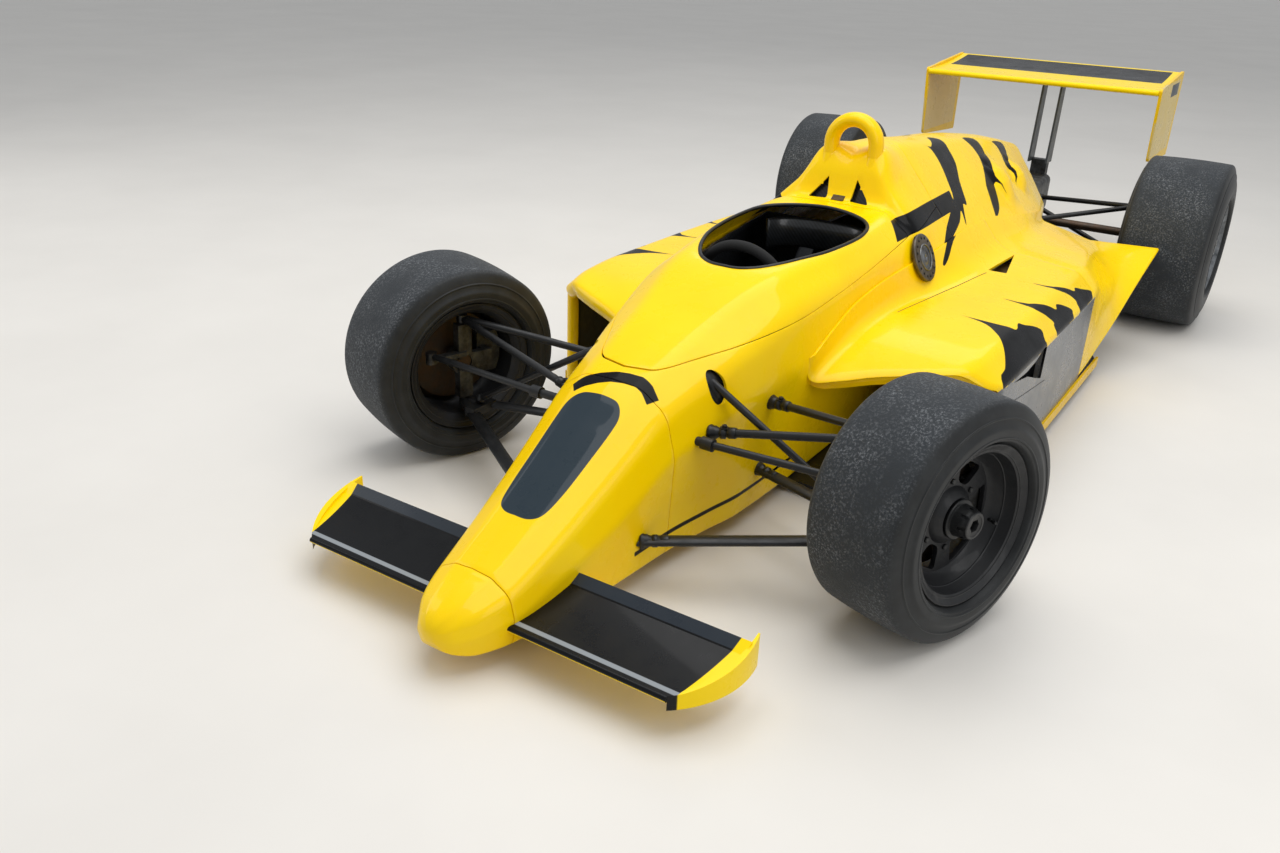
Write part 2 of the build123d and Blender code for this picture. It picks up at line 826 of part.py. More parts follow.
def tyre(diameter, section, tread):
    radius = diameter / 2
    foot = bead_radius + bead_fit
    middle = foot + 0.42 * (radius - foot)
    edge = tread / 2
    bead = edge - bead_inset
    shoulder = (edge - tyre_shoulder[0], radius - tyre_shoulder[1])
    corner = (edge + tyre_corner[0], radius - tyre_corner[1])
    low = (edge + tyre_flank[0], radius - tyre_flank[1])
    outer = [
        Line((bead, foot), (bead, lip_radius + lip_clearance)),
        ThreePointArc((bead, lip_radius + lip_clearance),
                      (section / 2 - bead_inset, lip_radius + tyre_bulge), (section / 2, middle)),
        ThreePointArc((section / 2, middle), (section / 2 - tyre_corner[0], 0.5 * (middle + low[1])), low),
        ThreePointArc(low, corner, shoulder),
    ]
    inner_side = section / 2 - tyre_wall
    inner_top = (edge - 1.6 * tyre_wall, radius - 1.9 * tyre_wall)
    inner_low = (low[0] - 1.1 * tyre_wall, low[1] - 0.5 * tyre_wall)
    toe = (bead - bead_width, foot)
    inner = [
        ThreePointArc(inner_top, inner_low, (inner_side, middle)),
        ThreePointArc((inner_side, middle), (inner_side - tyre_bulge, lip_radius + 1.2 * tyre_wall),
                      (bead - tyre_wall, lip_radius)),
        Line((bead - tyre_wall, lip_radius), toe),
    ]
    right = outer + inner + [Line(toe, (bead, foot))]
    left = [edge.mirror(Plane.YZ) for edge in right]
    crown = ThreePointArc(shoulder, (0, radius), (-shoulder[0], shoulder[1]))
    liner = ThreePointArc(inner_top, (0, radius - 1.6 * tyre_wall), (-inner_top[0], inner_top[1]))
    return revolved(make_face(right + left + [crown, liner]))


def rim(width, tread):
    half = width / 2
    seat = tread / 2 - bead_inset
    shelf = seat - bead_width - bead_inset
    well = bead_radius - rim_well_depth
    right = [
        (shelf - well_slope, well), (shelf, bead_radius), (seat + seat_play, bead_radius),
        (half - lip_thickness, lip_radius), (half, lip_radius), (half, lip_radius - rim_wall),
        (seat - rim_wall / 2, bead_radius - rim_wall), (shelf + rim_wall / 3, bead_radius - rim_wall),
        (shelf - well_slope + rim_wall / 3, well - rim_wall),
    ]
    barrel = revolved(make_face(Polyline(*right, *[(-x, r) for x, r in reversed(right)], close=True)))
    inboard = web_place(width)
    boss_end = inboard + web_boss_length
    outboard = inboard + web_thickness
    web = [
        (inboard, spindle_radius + bore_clearance), (boss_end, spindle_radius + bore_clearance),
        (boss_end, hub_radius + web_boss_wall), (outboard, bell_radius),
        (outboard, window_outer_radius + web_boss_wall), (outboard + web_flange, well - bore_clearance),
        (inboard + web_flange, well - bore_clearance), (inboard, window_outer_radius + web_boss_wall / 2),
    ]
    wheel = barrel + revolved(make_face(Polyline(*web, close=True)))
    half_angle = math.radians(window_angle / 2)
    window = []
    for radius, angles in ((window_inner_radius, (-1, 1)), (window_outer_radius, (1, -1))):
        window += [(radius * math.cos(a * half_angle), radius * math.sin(a * half_angle)) for a in angles]
    outline = make_face(FilletPolyline(*window, radius=window_corner, close=True))
    cutter = extrude(Plane((inboard - web_thickness, 0, 0), x_dir=(0, 1, 0), z_dir=(1, 0, 0)) * outline,
                     amount=5 * web_thickness)
    for index in range(window_count):
        wheel -= Rot(360 * index / window_count, 0, 0) * cutter
    return wheel


def web_place(width):
    # inboard face of the wheel's web, well behind the outer lip
    return width / 2 - web_inset


def hub(width, inboard, shaft, shaft_end):
    # brake disc with its bell, flange, spindle and centre nut, reaching inboard to the upright or gearbox
    face = web_place(width)
    disc = face - disc_offset
    nut = face + web_boss_length + panel_gap
    nut_end = face + web_boss_length + nut_length
    profile = [
        (inboard, 0), (inboard, shaft), (shaft_end, shaft), (shaft_end, spindle_radius),
        (disc - disc_thickness, spindle_radius),
        (disc - disc_thickness, disc_radius), (disc, disc_radius), (disc, bell_radius),
        (face - panel_gap, bell_radius), (face - panel_gap, spindle_radius),
        (nut, spindle_radius), (nut, nut_radius), (nut_end, nut_radius - nut_taper), (nut_end, 0),
    ]
    shape = revolved(make_face(Polyline(*profile, close=True)))
    socket = Plane((nut_end, 0, 0), x_dir=(0, 1, 0), z_dir=(-1, 0, 0))
    return shape - extrude(socket * RegularPolygon(nut_socket, 6), amount=nut_length / 2)


def caliper(width, column_face):
    # clasps the rear edge of the disc, clear of it and of the rim
    middle = web_place(width) - disc_offset - disc_thickness / 2
    slot_width = disc_thickness + 2 * caliper_gap
    block = Box(slot_width + 2 * caliper_wall, *caliper_size)
    block = Pos(middle - caliper_offset, caliper_centre, 0) * block
    shape = block & (Rot(0, 90, 0) * Cylinder(disc_radius + caliper_reach, 3 * width))
    shape -= Pos(middle, 0, 0) * Rot(0, 90, 0) * Cylinder(disc_radius + caliper_gap, slot_width)
    start = middle - slot_width / 2 - caliper_gap
    arm_length = start - column_face + caliper_arm_root
    arm = Box(arm_length, *caliper_arm, align=(Align.MAX, Align.CENTER, Align.CENTER))
    plate_length = caliper_arm_place + caliper_arm[0] / 2
    plate = Box(caliper_arm_root, plate_length, caliper_arm[1], align=(Align.MAX, Align.MIN, Align.CENTER))
    return shape + Pos(start, caliper_arm_place, 0) * arm + Pos(column_face, 0, 0) * plate


def lifted(place, wheel_tyre):
    # height that sets the tyre's lowest point on the ground
    return -(place * wheel_tyre).bounding_box().min.Z


def front_wheel_place(side, height, steer=parked_steer):
    turn = Rot(0, 0, steer) * Rot(0, 0, 0 if side > 0 else 180)
    pivot = Pos(side * kingpin_half_track, y_at(0), height)
    return pivot * turn * Pos(kingpin_offset, 0, 0) * Rot(0, -front_camber, 0)


def rear_wheel_place(side, height):
    return Pos(side * rear_track / 2, y_at(wheelbase), height) * Rot(0, 0, 0 if side > 0 else 180)


def front_upright(axle_height):
    # local frame: kingpin on Z at the origin, wheel axle along +X, nose of the car along -Y
    low = lower_joint_height + joint_height / 2 + column_gap
    high = upper_joint_height - joint_height / 2 - column_gap
    column = Pos(0, 0, low) * Box(*front_column, high - low, align=upward)
    pin_length = upper_joint_height - lower_joint_height + joint_height
    pin = Pos(0, 0, lower_joint_height - joint_height / 2) * Cylinder(
        kingpin_radius, pin_length, align=upward)
    axle = Pos(kingpin_offset, 0, axle_height) * Rot(0, -front_camber, 0)
    boss_wall, boss_length = front_boss
    boss = axle * Pos(boss_length / 2 - kingpin_offset - kingpin_radius, 0, 0) * Rot(0, 90, 0) * Cylinder(
        spindle_radius + boss_wall, boss_length)
    bore_centre = spindle_bore_length / 2 - kingpin_offset - front_column[0] / 2 - stub_play
    bore = axle * Pos(bore_centre, 0, 0) * Rot(0, 90, 0) * Cylinder(
        spindle_radius + spindle_clearance, spindle_bore_length)
    arm_top = rack_height - joint_height / 2 - rod_end_gap
    arm_width, arm_thickness = steering_arm_size
    arm = Pos(-steering_arm_inset / 2, -steering_arm / 2, arm_top) * Box(
        arm_width, steering_arm, arm_thickness, align=downward)
    arm += Pos(-steering_arm_inset, -steering_arm, arm_top) * Cylinder(
        joint_radius, arm_thickness, align=downward)
    clasp = axle * caliper(front_rim_width, front_column[0] / 2 - kingpin_offset)
    return column + pin + boss + arm + clasp - bore


def front_arms(level):
    # one wishbone: two legs that meet at an eye on the kingpin
    height = upper_joint_height if level == "upper" else lower_joint_height
    eye_place = Vector(kingpin_half_track, y_at(0), height)
    arms = None
    for end in ("front", "rear"):
        start = point(*front_pickups[f"{level}_{end}"])
        stop = eye_place - (eye_place - start).normalized() * 0.6 * joint_radius
        flat = level == "lower"
        leg = flat_rod(start, stop, arm_chord, arm_radius) if flat else rod(start, stop, arm_radius)
        foot = Pos(start.X, start.Y, start.Z) * Sphere(1.3 * arm_radius)
        arms = leg + foot if arms is None else arms + leg + foot
    if level == "lower":
        arms += rod_bracket_block()
    arms += Pos(eye_place.X, eye_place.Y, eye_place.Z) * Cylinder(joint_radius, joint_height)
    arms -= Pos(eye_place.X, eye_place.Y, eye_place.Z) * Cylinder(
        kingpin_radius + joint_clearance, 3 * joint_height)
    return arms


def rod_bracket_block():
    # gusset between the lower wishbone's legs, which carries the push rod's eye
    station, half_width, height = push_rod_foot
    top = height - rod_eye_radius - seat_gap
    low = lower_joint_height - arm_radius
    return Pos(half_width, y_at(station), low) * Box(*rod_bracket, top - low, align=upward)


def front_push_rod():
    foot = point(*push_rod_foot)
    eye = Pos(foot.X, foot.Y, foot.Z) * Sphere(rod_eye_radius)
    return rod(point(*front_pickups["push_rod"]), foot, rod_radius) + eye


def rod_end_place(side, steer):
    # outer end of a track rod above the steering arm, for a steer angle in radians
    x = -steering_arm_inset if side > 0 else steering_arm_inset
    turned_x = x * math.cos(steer) + steering_arm * math.sin(steer)
    turned_y = x * math.sin(steer) - steering_arm * math.cos(steer)
    return Vector(side * kingpin_half_track + turned_x, y_at(0) + turned_y, rack_height)


def steering_rack():
    shift = steering_arm * math.sin(rest_steer)
    middle = Pos(shift, y_at(rack_station), rack_height)
    bar = middle * Rot(0, 90, 0) * Cylinder(rack_radius, 2 * rack_half_length)
    for side in (1, -1):
        inner = Vector(shift + side * rack_half_length, y_at(rack_station), rack_height)
        outer = rod_end_place(side, rest_steer)
        bar += rod(inner, outer, rod_radius)
        bar += Pos(inner.X, inner.Y, inner.Z) * Rot(0, 90, 0) * Cylinder(*rack_eye)
        bar += Pos(outer.X, outer.Y, outer.Z) * Cylinder(joint_radius, joint_height)
    return bar


# Cockpit

def seat():
    # bucket seat: reclined back, base and side bolsters, on two rails that stand on the tub's floor
    faces = []
    for station, half, high, low in seat_sections:
        foot = half - seat_taper
        right = [
            (foot, low),
            (half, high),
            (half - bolster_width, high),
            (foot - bolster_width, low + seat_shell),
        ]
        left = [(-x, z) for x, z in reversed(right)]
        faces.append(rounded(cross_plane(station), right + left, seat_bends + seat_bends[::-1]))
    bucket = loft(faces)
    tub_floor = ride_height + skin + seat_gap
    rail = Pos(seat_rail_spacing / 2, y_at(seat_rail_station), tub_floor) * Box(
        *seat_rail, seat_rail_top - tub_floor, align=upward)
    return bucket + rail + mirrored(rail)


def dash_panel():
    # a bulkhead plate under the front edge of the cockpit, with a bush for the column
    plate = between(tub_solid(skin + seat_gap), dash_station, dash_station + dash_thickness)
    plate &= half_space(Plane((0, 0, dash_bottom)))
    column = steering_column_place() * Cylinder(column_radius + bore_clearance, big)
    return plate - column


def steering_column_place():
    return Pos(0, y_at(steering_wheel_station), steering_wheel_height) * Rot(-90 + column_angle, 0, 0)


def steering_wheel():
    ring = Torus(steering_wheel_radius, steering_grip)
    boss = Cylinder(*steering_boss)
    spokes = Box(2 * steering_wheel_radius - steering_grip, *steering_spoke)
    wheel = ring + boss + spokes
    return steering_column_place() * wheel


def steering_column():
    shaft = Cylinder(column_radius, column_length, align=downward)
    return steering_column_place() * Pos(0, 0, -steering_boss[1] / 2 - panel_gap) * shaft


# Rear corners

def rear_upright():
    place = Pos(rear_joint_half_width, y_at(wheelbase), 0)
    low = rear_lower_joint_height - rear_column_overrun
    high = rear_upper_joint_height + rear_column_overrun
    column = place * Pos(0, 0, low) * Box(*rear_column, high - low, align=upward)
    boss_wall, boss_length = rear_boss
    centre = boss_length / 2 - rear_column_overrun
    boss = place * Pos(centre, 0, rear_tyre_radius) * Rot(0, 90, 0) * Cylinder(
        spindle_radius + boss_wall, boss_length)
    bore = place * Pos(centre, 0, rear_tyre_radius) * Rot(0, 90, 0) * Cylinder(
        spindle_radius + spindle_clearance, 3 * boss_length)
    face = rear_joint_half_width + rear_column[0] / 2 - rear_track / 2
    clasp = rear_wheel_place(1, rear_tyre_radius) * caliper(rear_rim_width, face)
    return column + boss + clasp - bore


def rear_arms(upright):
    parts = None
    heights = {"lower": rear_lower_joint_height, "upper": rear_upper_joint_height}
    for level, height in heights.items():
        for end, shift in (("front", -rear_leg_spread), ("rear", rear_leg_spread)):
            start = point(*rear_pickups[f"{level}_{end}"])
            stop = Vector(rear_joint_half_width - rear_leg_end, y_at(wheelbase + shift), height)
            leg = flat_rod(start, stop, rear_leg_chord, arm_radius) if level == "lower" else rod(
                start, stop, arm_radius)
            parts = leg if parts is None else parts + leg
    parts += rod(point(*rear_pickups["push_rod"]), point(*rear_rod_foot), arm_radius)
    case = gearbox_case(panel_gap)
    return [solid - case - upright for solid in parts.solids()]


def fuel_filler():
    place = Pos(filler_half_width, y_at(filler_station), filler_height) * Rot(0, filler_tilt, 0)
    flange = place * Cylinder(filler_radius, filler_thickness, align=upward)
    bore = place * Pos(0, 0, filler_thickness) * Cylinder(
        filler_bore, filler_bore_depth, align=downward)
    return flange - bore


def main():
    os.makedirs("parts", exist_ok=True)
    nodes = {}
    nodes["nose_tip"] = between(body_solid(body_sections[0][0], tip_station), -big, tip_station - panel_gap)
    nodes["nose_cone"] = body_solid(tip_station, nose_station)
    nodes["monocoque"] = monocoque()
    nodes["cockpit_cowl"] = cockpit_cowl()
    nodes["headrest_fairing"] = headrest_fairing()
    nodes["roll_hoop"] = roll_hoop()
    nodes["engine_cover"] = engine_cover()
    body = [tub_solid(-panel_gap), tank_solid(-panel_gap), cover_solid(-panel_gap)]
    nose = [body_solid(tip_station, nose_station, -panel_gap), body[0]]
    neck = Pos(filler_half_width, y_at(filler_station), filler_height) * Rot(0, filler_tilt, 0)
    pod = sidepod(body + [neck * Cylinder(filler_radius + panel_gap, filler_radius)])
    nodes["sidepod_left"] = pod
    nodes["sidepod_right"] = mirrored(pod)
    tail = tail_deck(body)
    nodes["tail_deck_left"] = tail
    nodes["tail_deck_right"] = mirrored(tail)
    nodes["floor"] = floor()
    wing = front_wing()
    nodes["front_wing_left"] = wing
    nodes["front_wing_right"] = mirrored(wing)
    nodes["rear_wing"] = rear_wing()
    nodes["rear_end_plates"] = rear_end_plates()
    nodes["wing_posts"] = wing_posts()
    nodes["engine_block"] = engine_block()
    nodes["gearbox"] = gearbox()
    nodes["radiators"] = radiators()
    nodes["rear_lamp"] = rear_lamp()
    nodes["fuel_filler"] = clear_of(fuel_filler(), body)
    nodes["seat"] = seat()
    nodes["dash_panel"] = dash_panel()
    nodes["steering_wheel"] = steering_wheel()
    nodes["steering_column"] = steering_column()
    nodes["upper_wishbones"] = both_sides(clear_of(front_arms("upper"), nose))
    nodes["lower_wishbones"] = both_sides(clear_of(front_arms("lower"), nose))
    nodes["front_push_rods"] = both_sides(clear_of(front_push_rod(), nose))
    nodes["steering_rack"] = steering_rack()
    rear_knuckle = rear_upright()
    arms = rear_arms(rear_knuckle)
    nodes["rear_wishbones"] = Compound(children=arms + [mirrored(arm) for arm in arms])
    nodes["rear_uprights"] = both_sides(rear_knuckle)

    front_tyre = tyre(front_tyre_diameter, front_tyre_section, front_tread_width)
    rear_tyre = tyre(rear_tyre_diameter, rear_tyre_section, rear_tread_width)
    front_rim = rim(front_rim_width, front_tread_width)
    rear_rim = rim(rear_rim_width, rear_tread_width)
    front_hub = hub(front_rim_width, -kingpin_offset - 4 * stub_play, spindle_radius - 2 * stub_play,
                    stub_play - kingpin_offset)
    shaft_end = rear_joint_half_width - rear_column_overrun - shaft_overrun - rear_track / 2
    shaft_start = gearbox_half_width + output_length + shaft_gap - rear_track / 2
    rear_hub = hub(rear_rim_width, shaft_start, shaft_radius, shaft_end)
    axle_height = lifted(front_wheel_place(1, 0), front_tyre)
    rear_height = lifted(rear_wheel_place(1, 0), rear_tyre)
    upright = front_upright(axle_height)
    for word, side in (("left", 1), ("right", -1)):
        front = front_wheel_place(side, axle_height)
        rear = rear_wheel_place(side, rear_height)
        pivot = Pos(side * kingpin_half_track, y_at(0), 0) * Rot(0, 0, parked_steer)
        nodes[f"upright_front_{word}"] = pivot * (upright if side > 0 else mirrored(upright))
        nodes[f"hub_front_{word}"] = front * front_hub
        nodes[f"rim_front_{word}"] = front * front_rim
        nodes[f"tyre_front_{word}"] = front * front_tyre
        nodes[f"hub_rear_{word}"] = rear * rear_hub
        nodes[f"rim_rear_{word}"] = rear * rear_rim
        nodes[f"tyre_rear_{word}"] = rear * rear_tyre
    print("axle heights", axle_height, rear_height)
    for name, shape in nodes.items():
        print(name, shape.is_valid, len(shape.solids()), round(shape.volume / 1e6, 2))
        export_step(shape, f"parts/{name}.step")


main()
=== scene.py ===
import json
import math
from functools import lru_cache
import bpy
import bmesh
from mathutils import Matrix, Vector


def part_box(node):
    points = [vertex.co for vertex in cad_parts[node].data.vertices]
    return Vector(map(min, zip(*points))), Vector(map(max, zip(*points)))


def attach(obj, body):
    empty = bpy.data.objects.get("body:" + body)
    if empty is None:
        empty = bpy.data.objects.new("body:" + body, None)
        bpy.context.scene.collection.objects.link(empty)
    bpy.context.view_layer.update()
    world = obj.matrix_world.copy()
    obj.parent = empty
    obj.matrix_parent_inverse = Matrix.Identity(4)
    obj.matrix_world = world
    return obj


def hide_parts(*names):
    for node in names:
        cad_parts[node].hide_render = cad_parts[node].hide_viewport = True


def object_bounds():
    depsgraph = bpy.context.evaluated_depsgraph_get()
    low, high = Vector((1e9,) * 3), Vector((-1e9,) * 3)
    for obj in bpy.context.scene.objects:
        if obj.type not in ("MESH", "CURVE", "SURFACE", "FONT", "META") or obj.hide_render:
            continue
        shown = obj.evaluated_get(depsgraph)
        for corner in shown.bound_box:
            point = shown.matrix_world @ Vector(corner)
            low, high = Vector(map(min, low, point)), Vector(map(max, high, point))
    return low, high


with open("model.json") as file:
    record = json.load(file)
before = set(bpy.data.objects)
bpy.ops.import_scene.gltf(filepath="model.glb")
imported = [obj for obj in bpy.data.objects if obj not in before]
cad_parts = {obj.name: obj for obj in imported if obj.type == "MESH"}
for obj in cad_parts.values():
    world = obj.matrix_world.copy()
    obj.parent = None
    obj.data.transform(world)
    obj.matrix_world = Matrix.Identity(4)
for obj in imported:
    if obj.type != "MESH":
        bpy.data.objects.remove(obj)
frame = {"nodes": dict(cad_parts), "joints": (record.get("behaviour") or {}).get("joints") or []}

# An open wheel racing car. Metres, nose along -Y, the driver's left along +X.
# Stations are millimetres behind the front axle, as a body maker would chalk them on the floor.
mm = 0.001
cadLow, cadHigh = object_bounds()
cadNodes = frame["nodes"]
joints = {joint["name"]: joint for joint in frame["joints"]}
frontAxle = joints["kingpin_left"]["pos_m"][1] / mm
sideSigns = (("left", 1), ("right", -1))
axisX, axisY, axisZ = Vector((1, 0, 0)), Vector((0, 1, 0)), Vector((0, 0, 1))
tiny = 1e-6


def place(x, station, z):
    return Vector((x, frontAxle + station, z)) * mm


def stationOf(co):
    return co.y / mm - frontAxle


def linkObject(name, data):
    obj = bpy.data.objects.new(name, data)
    bpy.context.scene.collection.objects.link(obj)
    return obj


def meshFrom(name, bm):
    mesh = bpy.data.meshes.new(name)
    bm.to_mesh(mesh)
    bm.free()
    return mesh


def makeObject(name, bm, materials, body="chassis", smooth=True):
    bm.normal_update()
    mesh = meshFrom(name, bm)
    for face in mesh.polygons:
        face.use_smooth = smooth
    obj = linkObject(name, mesh)
    for material in materials if isinstance(materials, (list, tuple)) else [materials]:
        mesh.materials.append(material)
    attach(obj, body)
    return obj


def applyModifier(obj, kind, **settings):
    # the finished mesh is what rides on the body
    modifier = obj.modifiers.new(kind.title(), kind)
    for name, value in settings.items():
        setattr(modifier, name, value)
    graph = bpy.context.evaluated_depsgraph_get()
    mesh = bpy.data.meshes.new_from_object(obj.evaluated_get(graph), depsgraph=graph)
    obj.modifiers.clear()
    old = obj.data
    obj.data = mesh
    bpy.data.meshes.remove(old)


# Colours and materials

def hexColour(code):
    # sRGB hex to the linear values that the shader works in
    parts = [int(code[i:i + 2], 16) / 255 for i in (1, 3, 5)]
    return tuple(c / 12.92 if c <= 0.04045 else ((c + 0.055) / 1.055) ** 2.4 for c in parts) + (1.0,)


def addNode(tree, kind, settings):
    # settings are the node's own properties by name, and its inputs by name or number;
    # an input takes a value, a hex colour, or the output of another node as a link
    node = tree.nodes.new(kind)
    for name, value in settings.items():
        if isinstance(name, str) and hasattr(node, name):
            setattr(node, name, value)
        elif isinstance(value, bpy.types.NodeSocket):
            tree.links.new(value, node.inputs[name])
        else:
            node.inputs[name].default_value = hexColour(value) if isinstance(value, str) else value
    return node


def newMaterial(name, shader):
    # a Principled shader with its constants on its own sockets, and the position on the object in metres
    material = bpy.data.materials.new(name)
    material.use_nodes = True
    tree = material.node_tree
    tree.nodes.clear()
    surface = addNode(tree, "ShaderNodeBsdfPrincipled", shader)
    addNode(tree, "ShaderNodeOutputMaterial", {"Surface": surface.outputs[0]})
    where = addNode(tree, "ShaderNodeTexCoord", {}).outputs["Object"]
    return {"material": material, "tree": tree, "surface": surface, "where": where}


def patches(made, sizeMm, levels=None, values=(0.0, 1.0), detail=4.0, roughness=0.6):
    # cloudy patches sizeMm across; with levels, what lies between those two is spread over the two values
    noise = {"Vector": made["where"], "Scale": 1 / (sizeMm * mm), "Detail": detail, "Roughness": roughness}
    cloud = addNode(made["tree"], "ShaderNodeTexNoise", noise).outputs["Fac"]
    if levels is None:
        return cloud
    spread = {"Value": cloud, "From Min": levels[0], "From Max": levels[1], "To Min": values[0],
              "To Max": values[1]}
    return addNode(made["tree"], "ShaderNodeMapRange", spread).outputs[0]


def finishSurface(made, base, layers, gloss, height, depthMm, strength):
    # each layer is a mask and a colour laid over the base; then come roughness and the fine relief
    tree = made["tree"]
    paint = base
    for mask, colour in layers:
        paint = addNode(tree, "ShaderNodeMix", {"data_type": "RGBA", 0: mask, 6: paint, 7: colour}).outputs[2]
    bump = addNode(tree, "ShaderNodeBump", {"Height": height, "Distance": depthMm * mm, "Strength": strength})
    for name, source in (("Base Color", paint), ("Roughness", gloss), ("Normal", bump.outputs["Normal"])):
        tree.links.new(source, made["surface"].inputs[name])
    return made["material"]


def enamelPaint(name, colour, shade, marks=None, dusty=0.04):
    # two-pack enamel, sprayed over glass fibre and polished: deep gloss, faint orange peel and track dust;
    # marks are painted where an attribute of that name is above zero, and the black ones are duller
    coat, markCoat, markEdge = 0.28, 0.07, 0.6 * mm
    made = newMaterial(name, {"IOR": 1.5, "Coat Roughness": 0.04, "Specular IOR Level": 0.1,
                              "Coat Weight": coat})
    tree = made["tree"]
    layers = [(patches(made, 260, (0.35, 0.7), (0.0, 0.5), detail=3.0), shade),
              (patches(made, 14, (0.66, 0.85), (0.0, dusty), detail=6.0, roughness=0.7), "#B9A978")]
    for attribute, markColour in (marks or {}).items():
        depth = addNode(tree, "ShaderNodeAttribute", {"attribute_name": attribute}).outputs["Fac"]
        mask = addNode(tree, "ShaderNodeMapRange", {"Value": depth, "From Min": -markEdge,
                                                    "From Max": markEdge}).outputs[0]
        layers.append((mask, markColour))
        if attribute == "blackPaintAndShade":
            dull = addNode(tree, "ShaderNodeMapRange", {"Value": mask, "To Min": coat, "To Max": markCoat})
            tree.links.new(dull.outputs[0], made["surface"].inputs["Coat Weight"])
    smear = patches(made, 90, (0.3, 0.75), (0.2, 0.42), detail=5.0, roughness=0.7)
    return finishSurface(made, colour, layers, smear, patches(made, 3, detail=2.0), 0.06, 0.2)


def blackCoat(name, colour="#121314", roughness=0.42, chip="#3D3F40"):
    # satin black powder coat on steel tube: soft sheen, pale chips where it has been knocked
    made = newMaterial(name, {"IOR": 1.5, "Specular IOR Level": 0.4, "Coat Weight": 0.1})
    layers = [(patches(made, 9, (0.66, 0.74), detail=6.0, roughness=0.75), chip)]
    gloss = patches(made, 30, (0.3, 0.7), (roughness - 0.08, roughness + 0.14))
    return finishSurface(made, colour, layers, gloss, patches(made, 1.6, detail=3.0), 0.08, 0.4)


def castAlloy(name, colour="#5C5E5E", grime="#2A2724"):
    # sand cast magnesium alloy, chromate dipped: grainy, dull and oily in the corners
    made = newMaterial(name, {"Metallic": 0.85})
    layers = [(patches(made, 60, (0.4, 0.65), detail=6.0, roughness=0.7), grime)]
    gloss = patches(made, 12, (0.3, 0.7), (0.42, 0.68))
    sand = patches(made, 2.2, detail=5.0, roughness=0.8)
    return finishSurface(made, colour, layers, gloss, sand, 0.35, 0.6)


def machinedSteel(name, colour="#8E9092", roughness=0.3):
    # turned and ground steel: highlights drawn out by fine tool marks, under a film of oil
    made = newMaterial(name, {"Metallic": 1.0, "Anisotropic": 0.4})
    layers = [(patches(made, 25, (0.35, 0.7), detail=5.0), "#4E4A45")]
    gloss = patches(made, 8, (0.3, 0.7), (roughness, roughness + 0.2))
    return finishSurface(made, colour, layers, gloss, patches(made, 1.5, detail=2.0), 0.05, 0.4)


def tyreRubber(name):
    # soft slick racing compound, scrubbed and cooled: grey pebbled pick-up on the tread, smooth dark walls
    made = newMaterial(name, {"IOR": 1.48, "Specular IOR Level": 0.35, "Sheen Weight": 0.06,
                              "Sheen Roughness": 0.5})
    tree = made["tree"]
    tread = addNode(tree, "ShaderNodeAttribute", {"attribute_name": "tread"}).outputs["Fac"]
    pebble = patches(made, 5.5, detail=6.0, roughness=0.75)
    speck = addNode(tree, "ShaderNodeMapRange", {"Value": pebble, "From Min": 0.5,
                                                 "From Max": 0.68}).outputs[0]
    swept = patches(made, 120, (0.32, 0.6))
    scrub = addNode(tree, "ShaderNodeMath", {"operation": "MULTIPLY", 0: speck, 1: swept}).outputs[0]
    scrub = addNode(tree, "ShaderNodeMath", {"operation": "MULTIPLY", 0: scrub, 1: tread}).outputs[0]
    layers = [(tread, "#2B2F33"), (patches(made, 55, (0.4, 0.75), (0.0, 0.5), detail=5.0), "#2E3133"),
              (scrub, "#7C7F82")]
    gloss = addNode(tree, "ShaderNodeMapRange", {"Value": tread, "To Min": 0.52, "To Max": 0.82}).outputs[0]
    rough = addNode(tree, "ShaderNodeMath", {"operation": "MULTIPLY", 0: pebble, 1: tread}).outputs[0]
    return finishSurface(made, "#161819", layers, gloss, rough, 1.6, 0.8)


def carbonShell(name, colour="#17191B"):
    # lacquered carbon fibre: black with a faint twill that shows as it turns, drawn at 24 mm because the real
    # weave of 2 mm is too fine for the render
    made = newMaterial(name, {"Coat Weight": 0.5, "Coat Roughness": 0.12})
    tree = made["tree"]
    weave = {"Vector": made["where"], "Scale": 1 / (24 * mm), "Distortion": 0.4, "bands_direction": "DIAGONAL"}
    twill = addNode(tree, "ShaderNodeTexWave", weave).outputs["Fac"]
    warp = addNode(tree, "ShaderNodeMapRange", {"Value": twill, "From Min": 0.3, "From Max": 0.7}).outputs[0]
    gloss = patches(made, 40, (0.3, 0.7), (0.3, 0.5))
    return finishSurface(made, colour, [(warp, "#24272A")], gloss, twill, 0.15, 0.3)


def plainPlastic(name, colour, second, roughness=0.5, sizeMm=20):
    # moulded or sprayed plastic: an even colour, slightly cloudy, with a fine moulded grain
    made = newMaterial(name, {"IOR": 1.46})
    layers = [(patches(made, sizeMm, (0.35, 0.7), detail=5.0), second)]
    gloss = patches(made, sizeMm / 2, (0.3, 0.7), (roughness - 0.1, roughness + 0.1))
    return finishSurface(made, colour, layers, gloss, patches(made, 1.2, detail=2.0), 0.06, 0.35)
